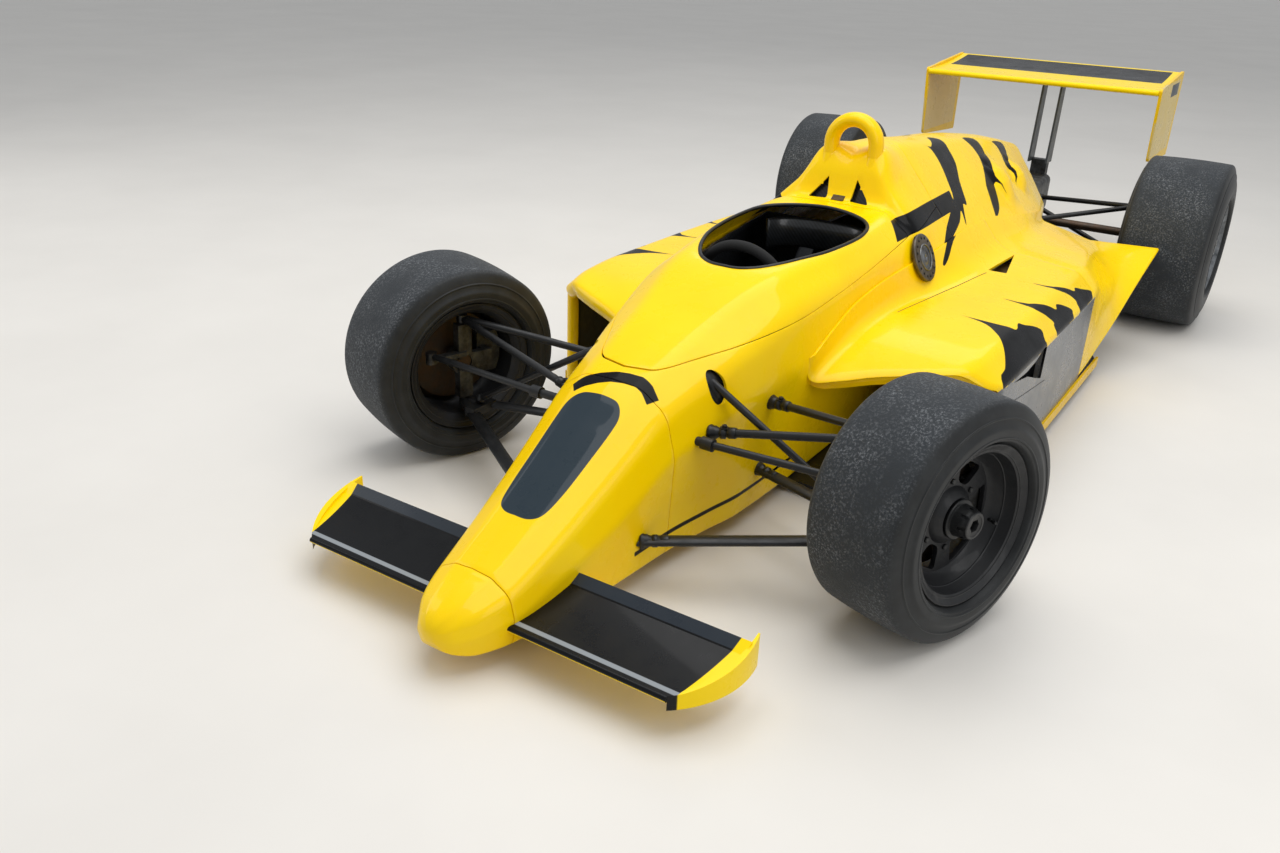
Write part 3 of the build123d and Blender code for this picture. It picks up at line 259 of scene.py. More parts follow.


# the black marks are the claws, the nose strip, the patch, and painted shade along the keel seam
clawYellow = enamelPaint("enamelYellowClaw", "#FFD600", "#FFC800", {"blackPaintAndShade": "#09090A", "slate": "#27333B"})
shopYellow = enamelPaint("enamelYellow", "#FFD600", "#FFC800")
panelGrey = enamelPaint("enamelGrey", "#6C6E71", "#616366", None, 0.02)
glossBlack = enamelPaint("enamelBlack", "#0D0E10", "#15171A")
satinBlack = blackCoat("powderCoatBlack")
wheelBlack = blackCoat("stovedBlack", "#17181A", 0.5, "#2C2E30")
postGrey = blackCoat("powderCoatGrey", "#4C5052", 0.4, "#7D8082")
gearCast = castAlloy("castMagnesium")
brakeIron = machinedSteel("greyIron", "#5B4A3E", 0.45)
boltSteel = machinedSteel("groundSteel")
wheelSilver = castAlloy("castWheelSilver", "#8C8F92", "#55585A")
slickRubber = tyreRubber("slickCompound")
carbonBlack = carbonShell("carbonTwill")
boardBlack = plainPlastic("laminateBlack", "#17181A", "#222426", 0.5)
coreAlloy = castAlloy("radiatorCore", "#7A7D7F", "#3B3C3D")
lampRed = plainPlastic("polycarbonateRed", "#7A0B0B", "#5A0606", 0.25)
suedeBlack = plainPlastic("suedeBlack", "#141414", "#1E1E1E", 0.85, 3)
fillerBronze = machinedSteel("anodisedFlange", "#7C746A", 0.5)
oldBrown = plainPlastic("bareLaminate", "#5A4417", "#3A2C12", 0.6, 14)
webbing = plainPlastic("wovenWebbing", "#15171B", "#22252B", 0.7, 3)
trimRubber = plainPlastic("edgeRubber", "#0C0C0D", "#17181A", 0.45, 12)
linerBlack = carbonShell("linerLacquer", "#0E0F11")
print("materials ready")


# Bodywork

body = {
    # station, ridge height, then half width, height and corner radius of top, shoulder, side and bottom
    "rows": [
        (-829, 115, 8, 114, 5, 15, 107, 5, 15, 98, 5, 9, 91, 4),
        (-822, 127, 15, 125, 9, 32, 113, 12, 38, 95, 14, 27, 72, 9),
        (-808, 141, 24, 138, 14, 44, 122, 18, 53, 94, 22, 42, 58, 12),
        (-765, 163, 36, 160, 24, 76, 140, 26, 84, 100, 30, 76, 46, 12),
        (-695, 191, 48, 187, 24, 98, 160, 34, 110, 108, 40, 104, 45, 12),
        (-575, 247, 56, 243, 40, 112, 208, 44, 130, 146, 60, 126, 45, 12),
        (-450, 314, 62, 310, 50, 124, 268, 50, 148, 190, 70, 145, 45, 12),
        (-320, 388, 70, 384, 56, 138, 336, 56, 163, 245, 80, 155, 45, 12),
        (-205, 453, 78, 449, 60, 150, 400, 64, 176, 300, 90, 164, 45, 12),
        (-60, 506, 92, 501, 66, 174, 446, 70, 206, 338, 100, 188, 45, 14),
        (60, 546, 104, 541, 70, 196, 484, 72, 232, 370, 110, 211, 45, 14),
        (330, 618, 156, 615, 60, 240, 548, 80, 262, 400, 110, 222, 45, 14),
        (650, 641, 196, 638, 50, 256, 566, 80, 275, 405, 110, 224, 45, 14),
        (900, 655, 186, 652, 55, 260, 580, 100, 306, 412, 100, 226, 45, 14),
        (985, 664, 150, 662, 60, 262, 590, 120, 326, 416, 90, 227, 45, 14),
        (1016, 742, 112, 740, 50, 260, 598, 130, 332, 418, 85, 228, 45, 14),
        (1060, 766, 104, 762, 55, 256, 602, 140, 340, 421, 80, 228, 45, 14),
        (1250, 812, 72, 802, 60, 238, 610, 160, 372, 430, 60, 232, 45, 14),
        (1540, 785, 74, 776, 60, 236, 602, 165, 378, 432, 60, 238, 45, 14),
        (1860, 757, 74, 750, 60, 228, 592, 160, 378, 432, 60, 240, 45, 14),
        (2280, 702, 74, 696, 55, 194, 562, 120, 316, 424, 60, 215, 45, 14),
        (2700, 624, 66, 620, 50, 150, 500, 90, 226, 380, 50, 150, 45, 14),
    ],
    "spacing": 11,
    "skin": 6,
    "seamGap": 1.4,
    "noseSeam": -695,
    "cowlSeam": -205,
    "fairingSeam": 958,
    "coverSeam": 1250,
    "coverEnd": 2660,
    "coverHem": 392,
    "seamHeight": 489,
    "seamSlope": 6.4,
    "floorTop": 62,
}


def monotoneCurve(xs, ys):
    # a smooth curve through the points that never overshoots them
    steps = [(ys[i + 1] - ys[i]) / (xs[i + 1] - xs[i]) for i in range(len(xs) - 1)]
    slopes = [steps[0]]
    for i in range(1, len(steps)):
        a, b = steps[i - 1], steps[i]
        left, right = xs[i] - xs[i - 1], xs[i + 1] - xs[i]
        flat = a * b <= 0
        slopes.append(0.0 if flat else 3 * (left + right) / ((2 * right + left) / a + (right + 2 * left) / b))
    slopes.append(steps[-1])

    def at(x):
        x = min(max(x, xs[0]), xs[-1])
        i = max(k for k in range(len(xs) - 1) if xs[k] <= x)
        span = xs[i + 1] - xs[i]
        t = (x - xs[i]) / span
        return ((1 + 2 * t) * (1 - t) ** 2 * ys[i] + t * (1 - t) ** 2 * span * slopes[i]
                + t * t * (3 - 2 * t) * ys[i + 1] + t * t * (t - 1) * span * slopes[i + 1])
    return at


def tableCurves(rows):
    # one curve along the stations for each column after the first
    stations = [row[0] for row in rows]
    return [monotoneCurve(stations, [row[k] for row in rows]) for k in range(1, len(rows[0]))]


def roundedLine(corners, perCorner=9, perRun=4):
    # corners are (x, z, radius); each inner one becomes a smooth bend, always with the same count of points
    points = []
    ends = []
    for i in range(1, len(corners) - 1):
        here = Vector(corners[i][:2])
        back = Vector(corners[i - 1][:2]) - here
        ahead = Vector(corners[i + 1][:2]) - here
        turn = math.pi - back.angle(ahead)
        reach = min(1.25 * corners[i][2] * math.tan(turn / 2), 0.49 * back.length, 0.49 * ahead.length)
        ends.append((here, back.normalized(), ahead.normalized(), reach))
    last = Vector(corners[0][:2])
    for here, back, ahead, reach in ends:
        start = here + back * reach
        stop = here + ahead * reach
        points += [last.lerp(start, k / perRun) for k in range(perRun)]
        for k in range(perCorner):
            t = k / perCorner
            points.append(start * (1 - t) ** 2 + here * 2 * t * (1 - t) + stop * t * t)
        last = stop
    end = Vector(corners[-1][:2])
    points += [last.lerp(end, k / perRun) for k in range(perRun + 1)]
    return points


bodyCurves = tableCurves(body["rows"])


def bodyHalf(station):
    # the left half of the cross-section, from the ridge down to the keel line
    v = [curve(station) for curve in bodyCurves]
    corners = [(0, v[0], 0)] + [(v[i], v[i + 1], v[i + 2]) for i in (1, 4, 7, 10)] + [(0, v[11], 0)]
    return roundedLine(corners)


def flankX(station, z):
    # half width of the centre body at a height, on its side below the ridge
    half = bodyHalf(station)
    for a, b in zip(half, half[1:]):
        if (a[1] - z) * (b[1] - z) <= 0 and a[0] > 20 and a[1] != b[1]:
            return a[0] + (b[0] - a[0]) * (a[1] - z) / (a[1] - b[1])
    return max(p[0] for p in half)


def gridMesh(rows, closed=False):
    bm = bmesh.new()
    verts = [[bm.verts.new(p) for p in row] for row in rows]
    for a, b in zip(verts, verts[1:]):
        for i in range(len(a) if closed else len(a) - 1):
            j = (i + 1) % len(a)
            bm.faces.new((a[i], a[j], b[j], b[i]))
    return bm


def tubeAlong(points, radius, segments, closed=False):
    # a round rod that follows points in metres, without twist
    count = len(points)
    rows = []
    normal = None
    for i, p in enumerate(points):
        ahead = points[(i + 1) % count] if closed or i < count - 1 else p
        back = points[i - 1] if closed or i > 0 else p
        run = (ahead - back).normalized()
        if normal is None:
            normal = run.orthogonal().normalized()
        normal = (normal - run * normal.dot(run)).normalized()
        across = run.cross(normal)
        turns = [2 * math.pi * k / segments for k in range(segments)]
        rows.append([p + (normal * math.cos(a) + across * math.sin(a)) * radius * mm for a in turns])
    bm = gridMesh(rows + ([rows[0]] if closed else []), closed=True)
    bmesh.ops.remove_doubles(bm, verts=bm.verts, dist=tiny)
    if not closed:
        bmesh.ops.holes_fill(bm, edges=[e for e in bm.edges if e.is_boundary], sides=0)
    bmesh.ops.recalc_face_normals(bm, faces=bm.faces)
    return bm


def wholeSection(station):
    half = bodyHalf(station)
    left = [place(p[0], station, p[1]) for p in half]
    right = [place(-p[0], station, p[1]) for p in half[-2:0:-1]]
    return left + right


def bodySkin(first, last):
    count = max(2, round((last - first) / body["spacing"]))
    return gridMesh([wholeSection(first + (last - first) * k / count) for k in range(count + 1)], closed=True)


def cutPlane(bm, point, normal):
    # keeps what lies behind the plane
    geometry = bm.verts[:] + bm.edges[:] + bm.faces[:]
    bmesh.ops.bisect_plane(bm, geom=geometry, plane_co=point, plane_no=normal, clear_outer=True)
    return bm


def seamPlane(side):
    slope = math.radians(body["seamSlope"])
    normal = Vector((0, -math.sin(slope), math.cos(slope)))
    return place(0, 0, body["seamHeight"]) + normal * side * body["seamGap"] / 2 * mm, normal * -side


def markSharp(obj, degrees):
    # edges that fold by more than this keep a hard line in the shading
    bm = bmesh.new()
    bm.from_mesh(obj.data)
    for edge in bm.edges:
        if len(edge.link_faces) == 2:
            edge.smooth = edge.calc_face_angle(0) < math.radians(degrees)
    bm.to_mesh(obj.data)
    bm.free()


def breakEdges(obj, width, segments, bevelDegrees, sharpDegrees):
    # smooth faces with softly broken edges between them
    for face in obj.data.polygons:
        face.use_smooth = True
    applyModifier(obj, "BEVEL", width=width * mm, segments=segments, limit_method="ANGLE",
                  angle_limit=math.radians(bevelDegrees))
    markSharp(obj, sharpDegrees)


def thicken(obj, depth):
    # panels have a real thickness
    applyModifier(obj, "SOLIDIFY", thickness=depth * mm, offset=-1, use_even_offset=False)
    breakEdges(obj, width=0.8, segments=2, bevelDegrees=50, sharpDegrees=40)
    return obj


def skinLoops(bm, loops):
    # joins closed loops of points one to the next and caps both ends
    rings = [[bm.verts.new(p) for p in loop] for loop in loops]
    for a, b in zip(rings, rings[1:]):
        for i in range(len(a)):
            j = (i + 1) % len(a)
            bm.faces.new((a[i], a[j], b[j], b[i]))
    bm.faces.new(rings[0][::-1])
    bm.faces.new(rings[-1])
    return bm


def block(outline, axis, low, high):
    # a closed block over an outline of 3-D points, from low to high in metres along an axis
    bm = skinLoops(bmesh.new(), [[p + axis * reach for p in outline] for reach in (low, high)])
    bmesh.ops.recalc_face_normals(bm, faces=bm.faces)
    return bm


def carve(obj, outline, axis, low, high):
    # cuts a block out of a piece
    cutter = linkObject("cutter", meshFrom("cutter", block(outline, axis, low, high)))
    applyModifier(obj, "BOOLEAN", object=cutter, operation="DIFFERENCE", solver="EXACT")
    bpy.data.objects.remove(cutter)


# Claw marks, stickers and the painted shade of the keel groove are outlines on the surface; a signed distance
# in metres is kept at each point

def signedDistance(point, outline):
    inside = False
    best = 1e9
    for a, b in zip(outline, outline[1:] + outline[:1]):
        if (a[1] > point[1]) != (b[1] > point[1]):
            if point[0] < a[0] + (b[0] - a[0]) * (point[1] - a[1]) / (b[1] - a[1]):
                inside = not inside
        run = (b[0] - a[0], b[1] - a[1])
        t = ((point[0] - a[0]) * run[0] + (point[1] - a[1]) * run[1]) / max(run[0] ** 2 + run[1] ** 2, 1e-9)
        t = min(max(t, 0.0), 1.0)
        best = min(best, math.hypot(a[0] + t * run[0] - point[0], a[1] + t * run[1] - point[1]))
    return best if inside else -best


def markValue(co, boxes):
    # how deep a point lies inside the marks in millimetres, below zero outside them
    point3 = co / mm
    point3.y -= frontAxle
    value = -markMargin
    for outline, axes, x0, x1, y0, y1 in boxes:
        point = axes(point3)
        if x0 < point[0] < x1 and y0 < point[1] < y1:
            value = max(value, signedDistance(point, outline))
    return value


def paintMarks(obj, marks):
    # marks are (attribute, outlines, axes), where axes gives the two coordinates in which outlines are drawn;
    # the mesh is made finer along each outline, so that the painted edge stays crisp
    rounds, shortestEdge = 3, 4 * mm
    boxes = {"blackPaintAndShade": [], "slate": []}
    for attribute, outlines, axes in marks:
        for outline in outlines:
            xs, ys = [p[0] for p in outline], [p[1] for p in outline]
            boxes[attribute].append((outline, axes, min(xs) - markMargin, max(xs) + markMargin,
                                     min(ys) - markMargin, max(ys) + markMargin))
    bm = bmesh.new()
    bm.from_mesh(obj.data)
    layers = {attribute: bm.verts.layers.float.new(attribute) for attribute in boxes}
    known = {}
    for turn in range(rounds + 1):
        for vertex in bm.verts:
            key = tuple(round(c, 5) for c in vertex.co)
            if key not in known:
                known[key] = [markValue(vertex.co, boxes[attribute]) for attribute in boxes]
            for attribute, value in zip(boxes, known[key]):
                vertex[layers[attribute]] = value * mm
        if turn == rounds:
            break
        near = []
        for edge in bm.edges:
            a, b = edge.verts
            length = edge.calc_length()
            if length < shortestEdge:
                continue
            for layer in layers.values():
                if min(abs(a[layer]), abs(b[layer])) < 0.9 * length or a[layer] * b[layer] < 0:
                    near.append(edge)
                    break
        bmesh.ops.subdivide_edges(bm, edges=near, cuts=1, use_grid_fill=True)
    bm.to_mesh(obj.data)
    bm.free()


def bentOutline(line, width):
    # a strip of even width about a line of points
    left, right = [], []
    for i, (x, y) in enumerate(line):
        a, b = line[max(i - 1, 0)], line[min(i + 1, len(line) - 1)]
        length = math.hypot(b[0] - a[0], b[1] - a[1])
        nx, ny = (a[1] - b[1]) / length, (b[0] - a[0]) / length
        left.append((x + nx * width / 2, y + ny * width / 2))
        right.append((x - nx * width / 2, y - ny * width / 2))
    return left + right[::-1]


def passThrough(a, b, c, d, t):
    # a Catmull-Rom span from b to c
    bend, twist = 2 * a - 5 * b + 4 * c - d, 3 * b - a - 3 * c + d
    return 0.5 * (2 * b + (c - a) * t + bend * t * t + twist * t ** 3)


def smoothLoop(points, perSpan=8):
    # a closed smooth loop through given points
    out = []
    n = len(points)
    for i in range(n):
        a, b, c, d = (Vector(points[(i + k) % n]) for k in (-1, 0, 1, 2))
        out += [tuple(passThrough(a, b, c, d, k / perSpan)) for k in range(perSpan)]
    return out


def openCurve(points, perSpan=6):
    # a smooth line through given points, sharp where a point is given twice
    out = []
    last = len(points) - 1
    for i in range(last):
        a, b, c, d = (Vector(points[min(max(i + k, 0), last)]) for k in (-1, 0, 1, 2))
        if (b - c).length > tiny:
            out += [tuple(passThrough(a, b, c, d, k / perSpan)) for k in range(perSpan)]
    return out + [tuple(points[-1])]


def roundCorners(corners, reach, steps=5):
    # a closed outline whose corners are rounded from a distance before them to one after
    points = []
    for i in range(len(corners)):
        back, here, ahead = (Vector(corners[(i + k) % len(corners)]) for k in (-1, 0, 1))
        start = here + (back - here).normalized() * min(reach, 0.45 * (back - here).length)
        stop = here + (ahead - here).normalized() * min(reach, 0.45 * (ahead - here).length)
        for k in range(steps + 1):
            t = k / steps
            points.append(tuple(start * (1 - t) ** 2 + here * 2 * t * (1 - t) + stop * t * t))
    return points


markings = {
    # flank claws as station and height less the lean's share of the half width, both sides alike
    "flank": [
        [(1463, 750), (1519, 725), (1623, 760), (1673, 742), (1665, 695), (1643, 636), (1568, 570), (1501, 488),
         (1470, 494), (1397, 420), (1426, 480), (1362, 446), (1224, 404), (1141, 359), (1103, 345), (1104, 361),
         (1174, 411), (1247, 455), (1347, 497), (1423, 530), (1462, 585), (1501, 659), (1502, 717)],
        [(1902, 712), (2022, 694), (2038, 641), (1981, 595), (1914, 545), (1909, 506), (1920, 443), (1891, 510),
         (1830, 460), (1772, 416), (1690, 392), (1701, 410), (1745, 466), (1787, 513), (1861, 560), (1922, 614),
         (1926, 664)],
        [(2240, 654), (2379, 633), (2364, 588), (2246, 538), (2239, 503), (2181, 447), (2217, 498), (2210, 543),
         (2250, 588), (2260, 627)],
    ],
    # blank black patch over the seam of the engine cover
    "patch": [(928, 552), (1150, 557), (1430, 560), (1412, 524), (1350, 492), (1120, 488), (876, 486)],
    # pod claws as half width and station
    "deck": [
        [(444, 833), (597, 818), (630, 826), (620, 873), (636, 891), (664, 970), (686, 950), (730, 944),
         (730, 563), (676, 563), (669, 611), (654, 651), (634, 687), (599, 742), (555, 796), (497, 823)],
        [(516, 1063), (596, 1066), (654, 1154), (648, 1186), (660, 1237), (678, 1281), (690, 1264), (730, 1256),
         (730, 1069), (681, 1069), (671, 1087), (652, 1062), (627, 1035), (572, 1048)],
        [(545, 1277), (608, 1297), (651, 1391), (647, 1421), (660, 1476), (676, 1541), (690, 1520), (730, 1512),
         (730, 1347), (683, 1347), (670, 1357), (653, 1337), (621, 1280)],
    ],
    # glossy slate oval and bare black strip on the nose, as x and station
    "oval": [(0, -560), (34, -556), (56, -536), (66, -480), (71, -400), (75, -320), (72, -282), (52, -258),
             (24, -251)],
    "strip": [(-84, -244), (-62, -226), (-34, -210), (-4, -199), (28, -192), (60, -190), (88, -196),
              (112, -208)],
    "stripWidth": 32,
    # open joint between the tub and its keel, painted black over its width as a dark joint with painted shade
    # of the groove under the tub's step, as station and height
    "keelJointShade": [(-330, 102), (-240, 104), (-120, 107), (0, 110), (100, 113), (230, 117), (330, 120)],
    "keelJointShadeWidth": 12,
    "flankLean": 0.45,
    "noseUnder": 200,
    "keelHalf": 90,
}
markMargin = 30


# Each mark is drawn in two coordinates of the body; places that it must not reach are moved aside

aside = 1000


def flankAxes(co):
    return co.y, co.z - markings["flankLean"] * abs(co.x)


def deckAxes(co):
    return abs(co.x) + (0 if co.z >= pods["greyTop"] else aside), co.y


def topAxes(co):
    return co.x + (0 if co.z >= markings["noseUnder"] else aside), co.y


def keelAxes(co):
    return co.y + (0 if abs(co.x) > markings["keelHalf"] else 5 * aside), co.z


def flankMarks():
    return [("blackPaintAndShade", [smoothLoop(line, 3) for line in markings["flank"]] + [markings["patch"]], flankAxes)]


# the keel line is a dark joint and painted shade: the groove under the tub's step is not modelled, so its shade
# is painted black
def keelMarks():
    return [("blackPaintAndShade", [bentOutline(markings["keelJointShade"], markings["keelJointShadeWidth"])], keelAxes)]


def noseMarks():
    half = markings["oval"]
    oval = half + [(-x, s) for x, s in half[:0:-1]]
    strip = bentOutline(markings["strip"], markings["stripWidth"])
    return [("slate", [smoothLoop(oval, 6)], topAxes), ("blackPaintAndShade", [strip], topAxes)]


def noseTip():
    bm = bodySkin(body["rows"][0][0], body["noseSeam"] - body["seamGap"])
    front = [v for v in bm.verts if abs(v.co.y - place(0, body["rows"][0][0], 0).y) < tiny]
    bmesh.ops.contextual_create(bm, geom=front)
    obj = thicken(makeObject("noseTipPanel", bm, shopYellow), body["skin"])
    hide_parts("nose_tip")


def noseCone():
    bm = bodySkin(body["noseSeam"], body["cowlSeam"] - body["seamGap"])
    obj = thicken(makeObject("noseConePanel", bm, clawYellow), body["skin"])
    paintMarks(obj, noseMarks() + keelMarks())
    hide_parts("nose_cone")


cockpit = {
    # half outline of the opening seen from above: half width, station
    "rim": [(0, 285), (42, 290), (80, 313), (108, 348), (138, 405), (170, 496), (186, 589), (193, 680),
            (190, 745), (176, 800), (142, 848), (90, 882), (42, 898), (0, 902)],
    "beadRadius": 5.5,
    # swelling round the roll hoop's feet: station, reach along the car, rise, half width of its flat top,
    # width of its edges, half width of the dip, and the height from which it acts
    "saddle": {"station": 1062, "reach": 44, "rise": 46, "flat": 84, "edge": 62, "dip": 52, "from": 640},
    # slot of a push rod: station, height, half sizes
    "rodSlot": (-42, 424, 26, 40),
    # one vent of the headrest's face, as half width and height
    "vent": [(38, 664), (98, 662), (46, 728)],
    # the headrest's face: station at a height, and how far it leans back per millimetre
    "face": (986, 670, 0.36),
    # what the vents' cuts leave inside it: half widths, heights, and how far behind the face
    "pocket": ((30, 104), (655, 735), 7),
}


def cockpitLoop():
    half = cockpit["rim"]
    return smoothLoop(half + [(-x, s) for x, s in half[-2:0:-1]])


def raiseSaddle(bm):
    # the shoulders swell up round the feet of the roll hoop, with a dip between them
    saddle = cockpit["saddle"]
    for vertex in bm.verts:
        x, s = abs(vertex.co.x) / mm, stationOf(vertex.co)
        if vertex.co.z < saddle["from"] * mm:
            continue
        run = (s - saddle["station"]) / (saddle["reach"] * (1 if s < saddle["station"] else 2.2))
        across = max(0.0, 1 - (max(0.0, x - saddle["flat"]) / saddle["edge"]) ** 2)
        dip = 0.5 * max(0.0, 1 - x / saddle["dip"])
        vertex.co.z += saddle["rise"] * mm * math.exp(-run * run) * across * (1 - dip)


def pushRodSlot(obj, side):
    station, z, wide, tall = cockpit["rodSlot"]
    turns = [2 * math.pi * k / 28 for k in range(28)]
    outline = [place(0, station + wide * math.cos(a), z + tall * math.sin(a)) for a in turns]
    carve(obj, outline, side * axisX, 0.06, 0.30)


def openPockets(obj):
    # the cuts of the two vents end inside the fairing: their walls and ends come away, which leaves holes
    station, height, lean = cockpit["face"]
    (inner, outer), (low, high), behind = cockpit["pocket"]
    bm = bmesh.new()
    bm.from_mesh(obj.data)
    walls = []
    for face in bm.faces:
        centre = face.calc_center_median()
        x, z = abs(centre.x) / mm, centre.z / mm
        depth = stationOf(centre) - station - lean * (z - height)
        if inner < x < outer and low < z < high and depth > behind:
            walls.append(face)
    bmesh.ops.delete(bm, geom=walls, context="FACES")
    bm.to_mesh(obj.data)
    bm.free()


def halfSkin(first, last, side):
    # the body's skin above or below the seam line
    return cutPlane(bodySkin(first, last - body["seamGap"]), *seamPlane(side))


def cutCockpit(obj):
    carve(obj, [place(x, s, 0) for x, s in cockpitLoop()], axisZ, 0.35, 1.0)


def cockpitCowl():
    bm = halfSkin(body["cowlSeam"], body["fairingSeam"], 1)
    obj = makeObject("cowlPanel", bm, clawYellow)
    cutCockpit(obj)
    thicken(obj, body["skin"])
    paintMarks(obj, noseMarks() + flankMarks())
    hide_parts("cockpit_cowl")


def tub():
    bm = halfSkin(body["cowlSeam"], body["coverSeam"], -1)
    obj = thicken(makeObject("tubShell", bm, clawYellow), body["skin"])
    for side in (-1, 1):
        pushRodSlot(obj, side)
    paintMarks(obj, noseMarks() + flankMarks() + keelMarks())
    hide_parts("monocoque")


def headrest():
    bm = halfSkin(body["fairingSeam"], body["coverSeam"], 1)
    raiseSaddle(bm)
    obj = makeObject("headrestFairing", bm, clawYellow)
    cutCockpit(obj)
    for side in (-1, 1):
        carve(obj, [place(side * x, 0, z) for x, z in roundCorners(cockpit["vent"], 6)], axisY, 0.96, 1.04)
    openPockets(obj)
    thicken(obj, body["skin"])
    paintMarks(obj, flankMarks())
    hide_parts("headrest_fairing")


noseTip()
noseCone()
cockpitCowl()
tub()
headrest()
print("nose, cowl and tub ready")


# Side pods and tail decks

pods = {
    # station, deck height at the body, fillet radius there, flange height above the deck,
    # then half width, height and radius of the deck's outer fold and of the side's top, and the side's foot
    "rows": [
        (300, 342, 50, 70, 500, 350, 30, 590, 312, 16, 46),
        (420, 384, 60, 74, 586, 396, 40, 655, 342, 18, 46),
        (560, 416, 75, 82, 622, 420, 44, 682, 362, 18, 46),
        (720, 428, 90, 90, 628, 428, 46, 686, 366, 18, 46),
        (1040, 434, 110, 100, 628, 428, 46, 686, 362, 18, 46),
        (1300, 446, 150, 100, 626, 426, 46, 686, 360, 18, 46),
        (1560, 452, 190, 92, 620, 420, 46, 684, 358, 18, 46),
    ],
    # how far back the front edge lies at each half width
    "frontEdge": [(230, 296), (270, 309), (382, 352), (423, 374), (560, 432), (640, 478), (670, 510),
                  (690, 560)],
    "rear": 1556,
    "spacing": 14,
    "lipRadius": 18,
    # openings: vent in the side as station and height, slot in the deck as half width and station
    "vent": [(636, 348), (760, 340), (850, 345), (910, 360), (956, 360), (950, 262), (882, 284), (776, 322)],
    "slot": [(404, 1290), (458, 1306), (418, 1530)],
    # joints of the panels as half width, station and height
    "deckSeam": [(320, 740, 436), (361, 997, 440), (410, 1271, 449)],
    "panelSeam": [(693, 619, 294), (693, 790, 268), (693, 1018, 236)],
    # black tray behind the vent as station and height, brown shelf under the slot as half width and station
    "tray": [(600, 372), (990, 372), (990, 236), (600, 310)],
    "shelf": [(380, 1262), (482, 1280), (470, 1552), (396, 1552)],
    "skin": 7,
    # the side is grey below this height and outside this half width, and the vent's cut faces there are black
    "greyTop": 356,
    "greyInside": 655,
    "ventReach": (630, 962),
}

tail = {
    # station, deck height at the body, fillet radius, flange height, fold half width, height and radius,
    # half width, height and radius of the side's top, then half width and height of the turned-up edge
    "rows": [
        (1559, 452, 190, 92, 620, 420, 46, 684, 358, 18, 684, 80),
        (1640, 450, 186, 86, 630, 416, 50, 680, 360, 40, 687, 92),
        (1750, 445, 170, 76, 622, 407, 60, 668, 318, 80, 692, 120),
        (1900, 436, 150, 66, 590, 396, 70, 664, 290, 90, 704, 172),
        (2100, 420, 120, 52, 548, 376, 70, 640, 322, 90, 724, 272),
        (2312, 400, 90, 40, 500, 352, 50, 622, 358, 90, 744, 364),
    ],
    "skin": 6,
    "lipRadius": 7,
}

podCurves = tableCurves(pods["rows"])
tailCurves = tableCurves(tail["rows"])
podFront = monotoneCurve([p[0] for p in pods["frontEdge"]], [p[1] for p in pods["frontEdge"]])


def deckHalf(curves, station):
    # from the flange on the flank over the deck's fold and down the side; a tail's last values are its edge
    values = [curve(station) for curve in curves]
    deck, fillet, flange, foldX, foldZ, foldR, sideX, sideZ, sideR = values[:9]
    lastX, lastZ = ([sideX] + values[9:])[-2:]
    top, gap = deck + flange, 0.6
    corners = [(flankX(station, top) + gap, top, 0), (flankX(station, deck) + gap, deck, fillet),
               (foldX, foldZ, foldR), (sideX, sideZ, sideR), (lastX, lastZ, 0)]
    return roundedLine(corners, 11, 8)


@lru_cache(maxsize=None)
def podHalf(station):
    return deckHalf(podCurves, station)


def rolledLip(rows, radius, turnDegrees=150, steps=7):
    # curls a sheet's front edge under, as a laid-up lip
    curl = []
    first, second = rows[0], rows[1]
    for i, edge in enumerate(first):
        forward = (edge - second[i]).normalized()
        side = (first[min(i + 1, len(first) - 1)] - first[max(i - 1, 0)]).normalized()
        curl.append((edge, forward, forward.cross(side).normalized()))
    for k in range(1, steps + 1):
        angle = math.radians(turnDegrees) * k / steps
        out, down = radius * mm * math.sin(angle), radius * mm * (1 - math.cos(angle))
        rows.insert(0, [edge + forward * out + under * down for edge, forward, under in curl])
    return rows


def podPoints(side):
    # the columns start on the slanted front edge, so each has its own stations
    first, last = pods["rows"][0][0], pods["rear"]
    count = round((last - first) / pods["spacing"])
    columns = podHalf(pods["rows"][2][0])
    rows = []
    for k in range(count + 1):
        row = []
        for i, guess in enumerate(columns):
            start = podFront(guess[0])
            station = start + (last - start) * k / count
            before = math.floor(station)
            point = podHalf(before)[i].lerp(podHalf(math.ceil(station))[i], station - before)
            row.append(place(side * point[0], station, point[1]))
        rows.append(row)
    return rows


def sheet(rows, side):
    # a panel's skin with its outer face up on either side of the car
    bm = gridMesh(rows)
    if side > 0:
        bmesh.ops.reverse_faces(bm, faces=bm.faces)
    return bm


def podFinishes(obj):
    yellow, grey, black = range(3)
    first, last = pods["ventReach"]
    for face in obj.data.polygons:
        across = abs(face.normal.x)
        index = yellow
        if face.center.z < pods["greyTop"] * mm and abs(face.center.x) > pods["greyInside"] * mm:
            cut = across < 0.6 and first < stationOf(face.center) < last
            index = black if cut else grey if across > 0.8 else yellow
        face.material_index = index


def sidePod(word, side):
    bm = sheet(rolledLip(podPoints(side), pods["lipRadius"] * -side), side)
    obj = makeObject(f"sidePod_{word}", bm, [clawYellow, panelGrey, glossBlack])
    thicken(obj, pods["skin"])
    carve(obj, [place(0, s, z) for s, z in roundCorners(pods["vent"], 7)], side * axisX, 0.6, 0.8)
    carve(obj, [place(side * x, s, 0) for x, s in roundCorners(pods["slot"], 5)], axisZ, 0.38, 0.6)
    podFinishes(obj)
    paintMarks(obj, flankMarks() + [("blackPaintAndShade", [smoothLoop(line, 3) for line in markings["deck"]], deckAxes)])
    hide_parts(f"sidepod_{word}")
    seamLine(f"deckSeam_{word}", obj, pods["deckSeam"], side, -axisZ)
    seamLine(f"panelSeam_{word}", obj, pods["panelSeam"], side, -side * axisX)


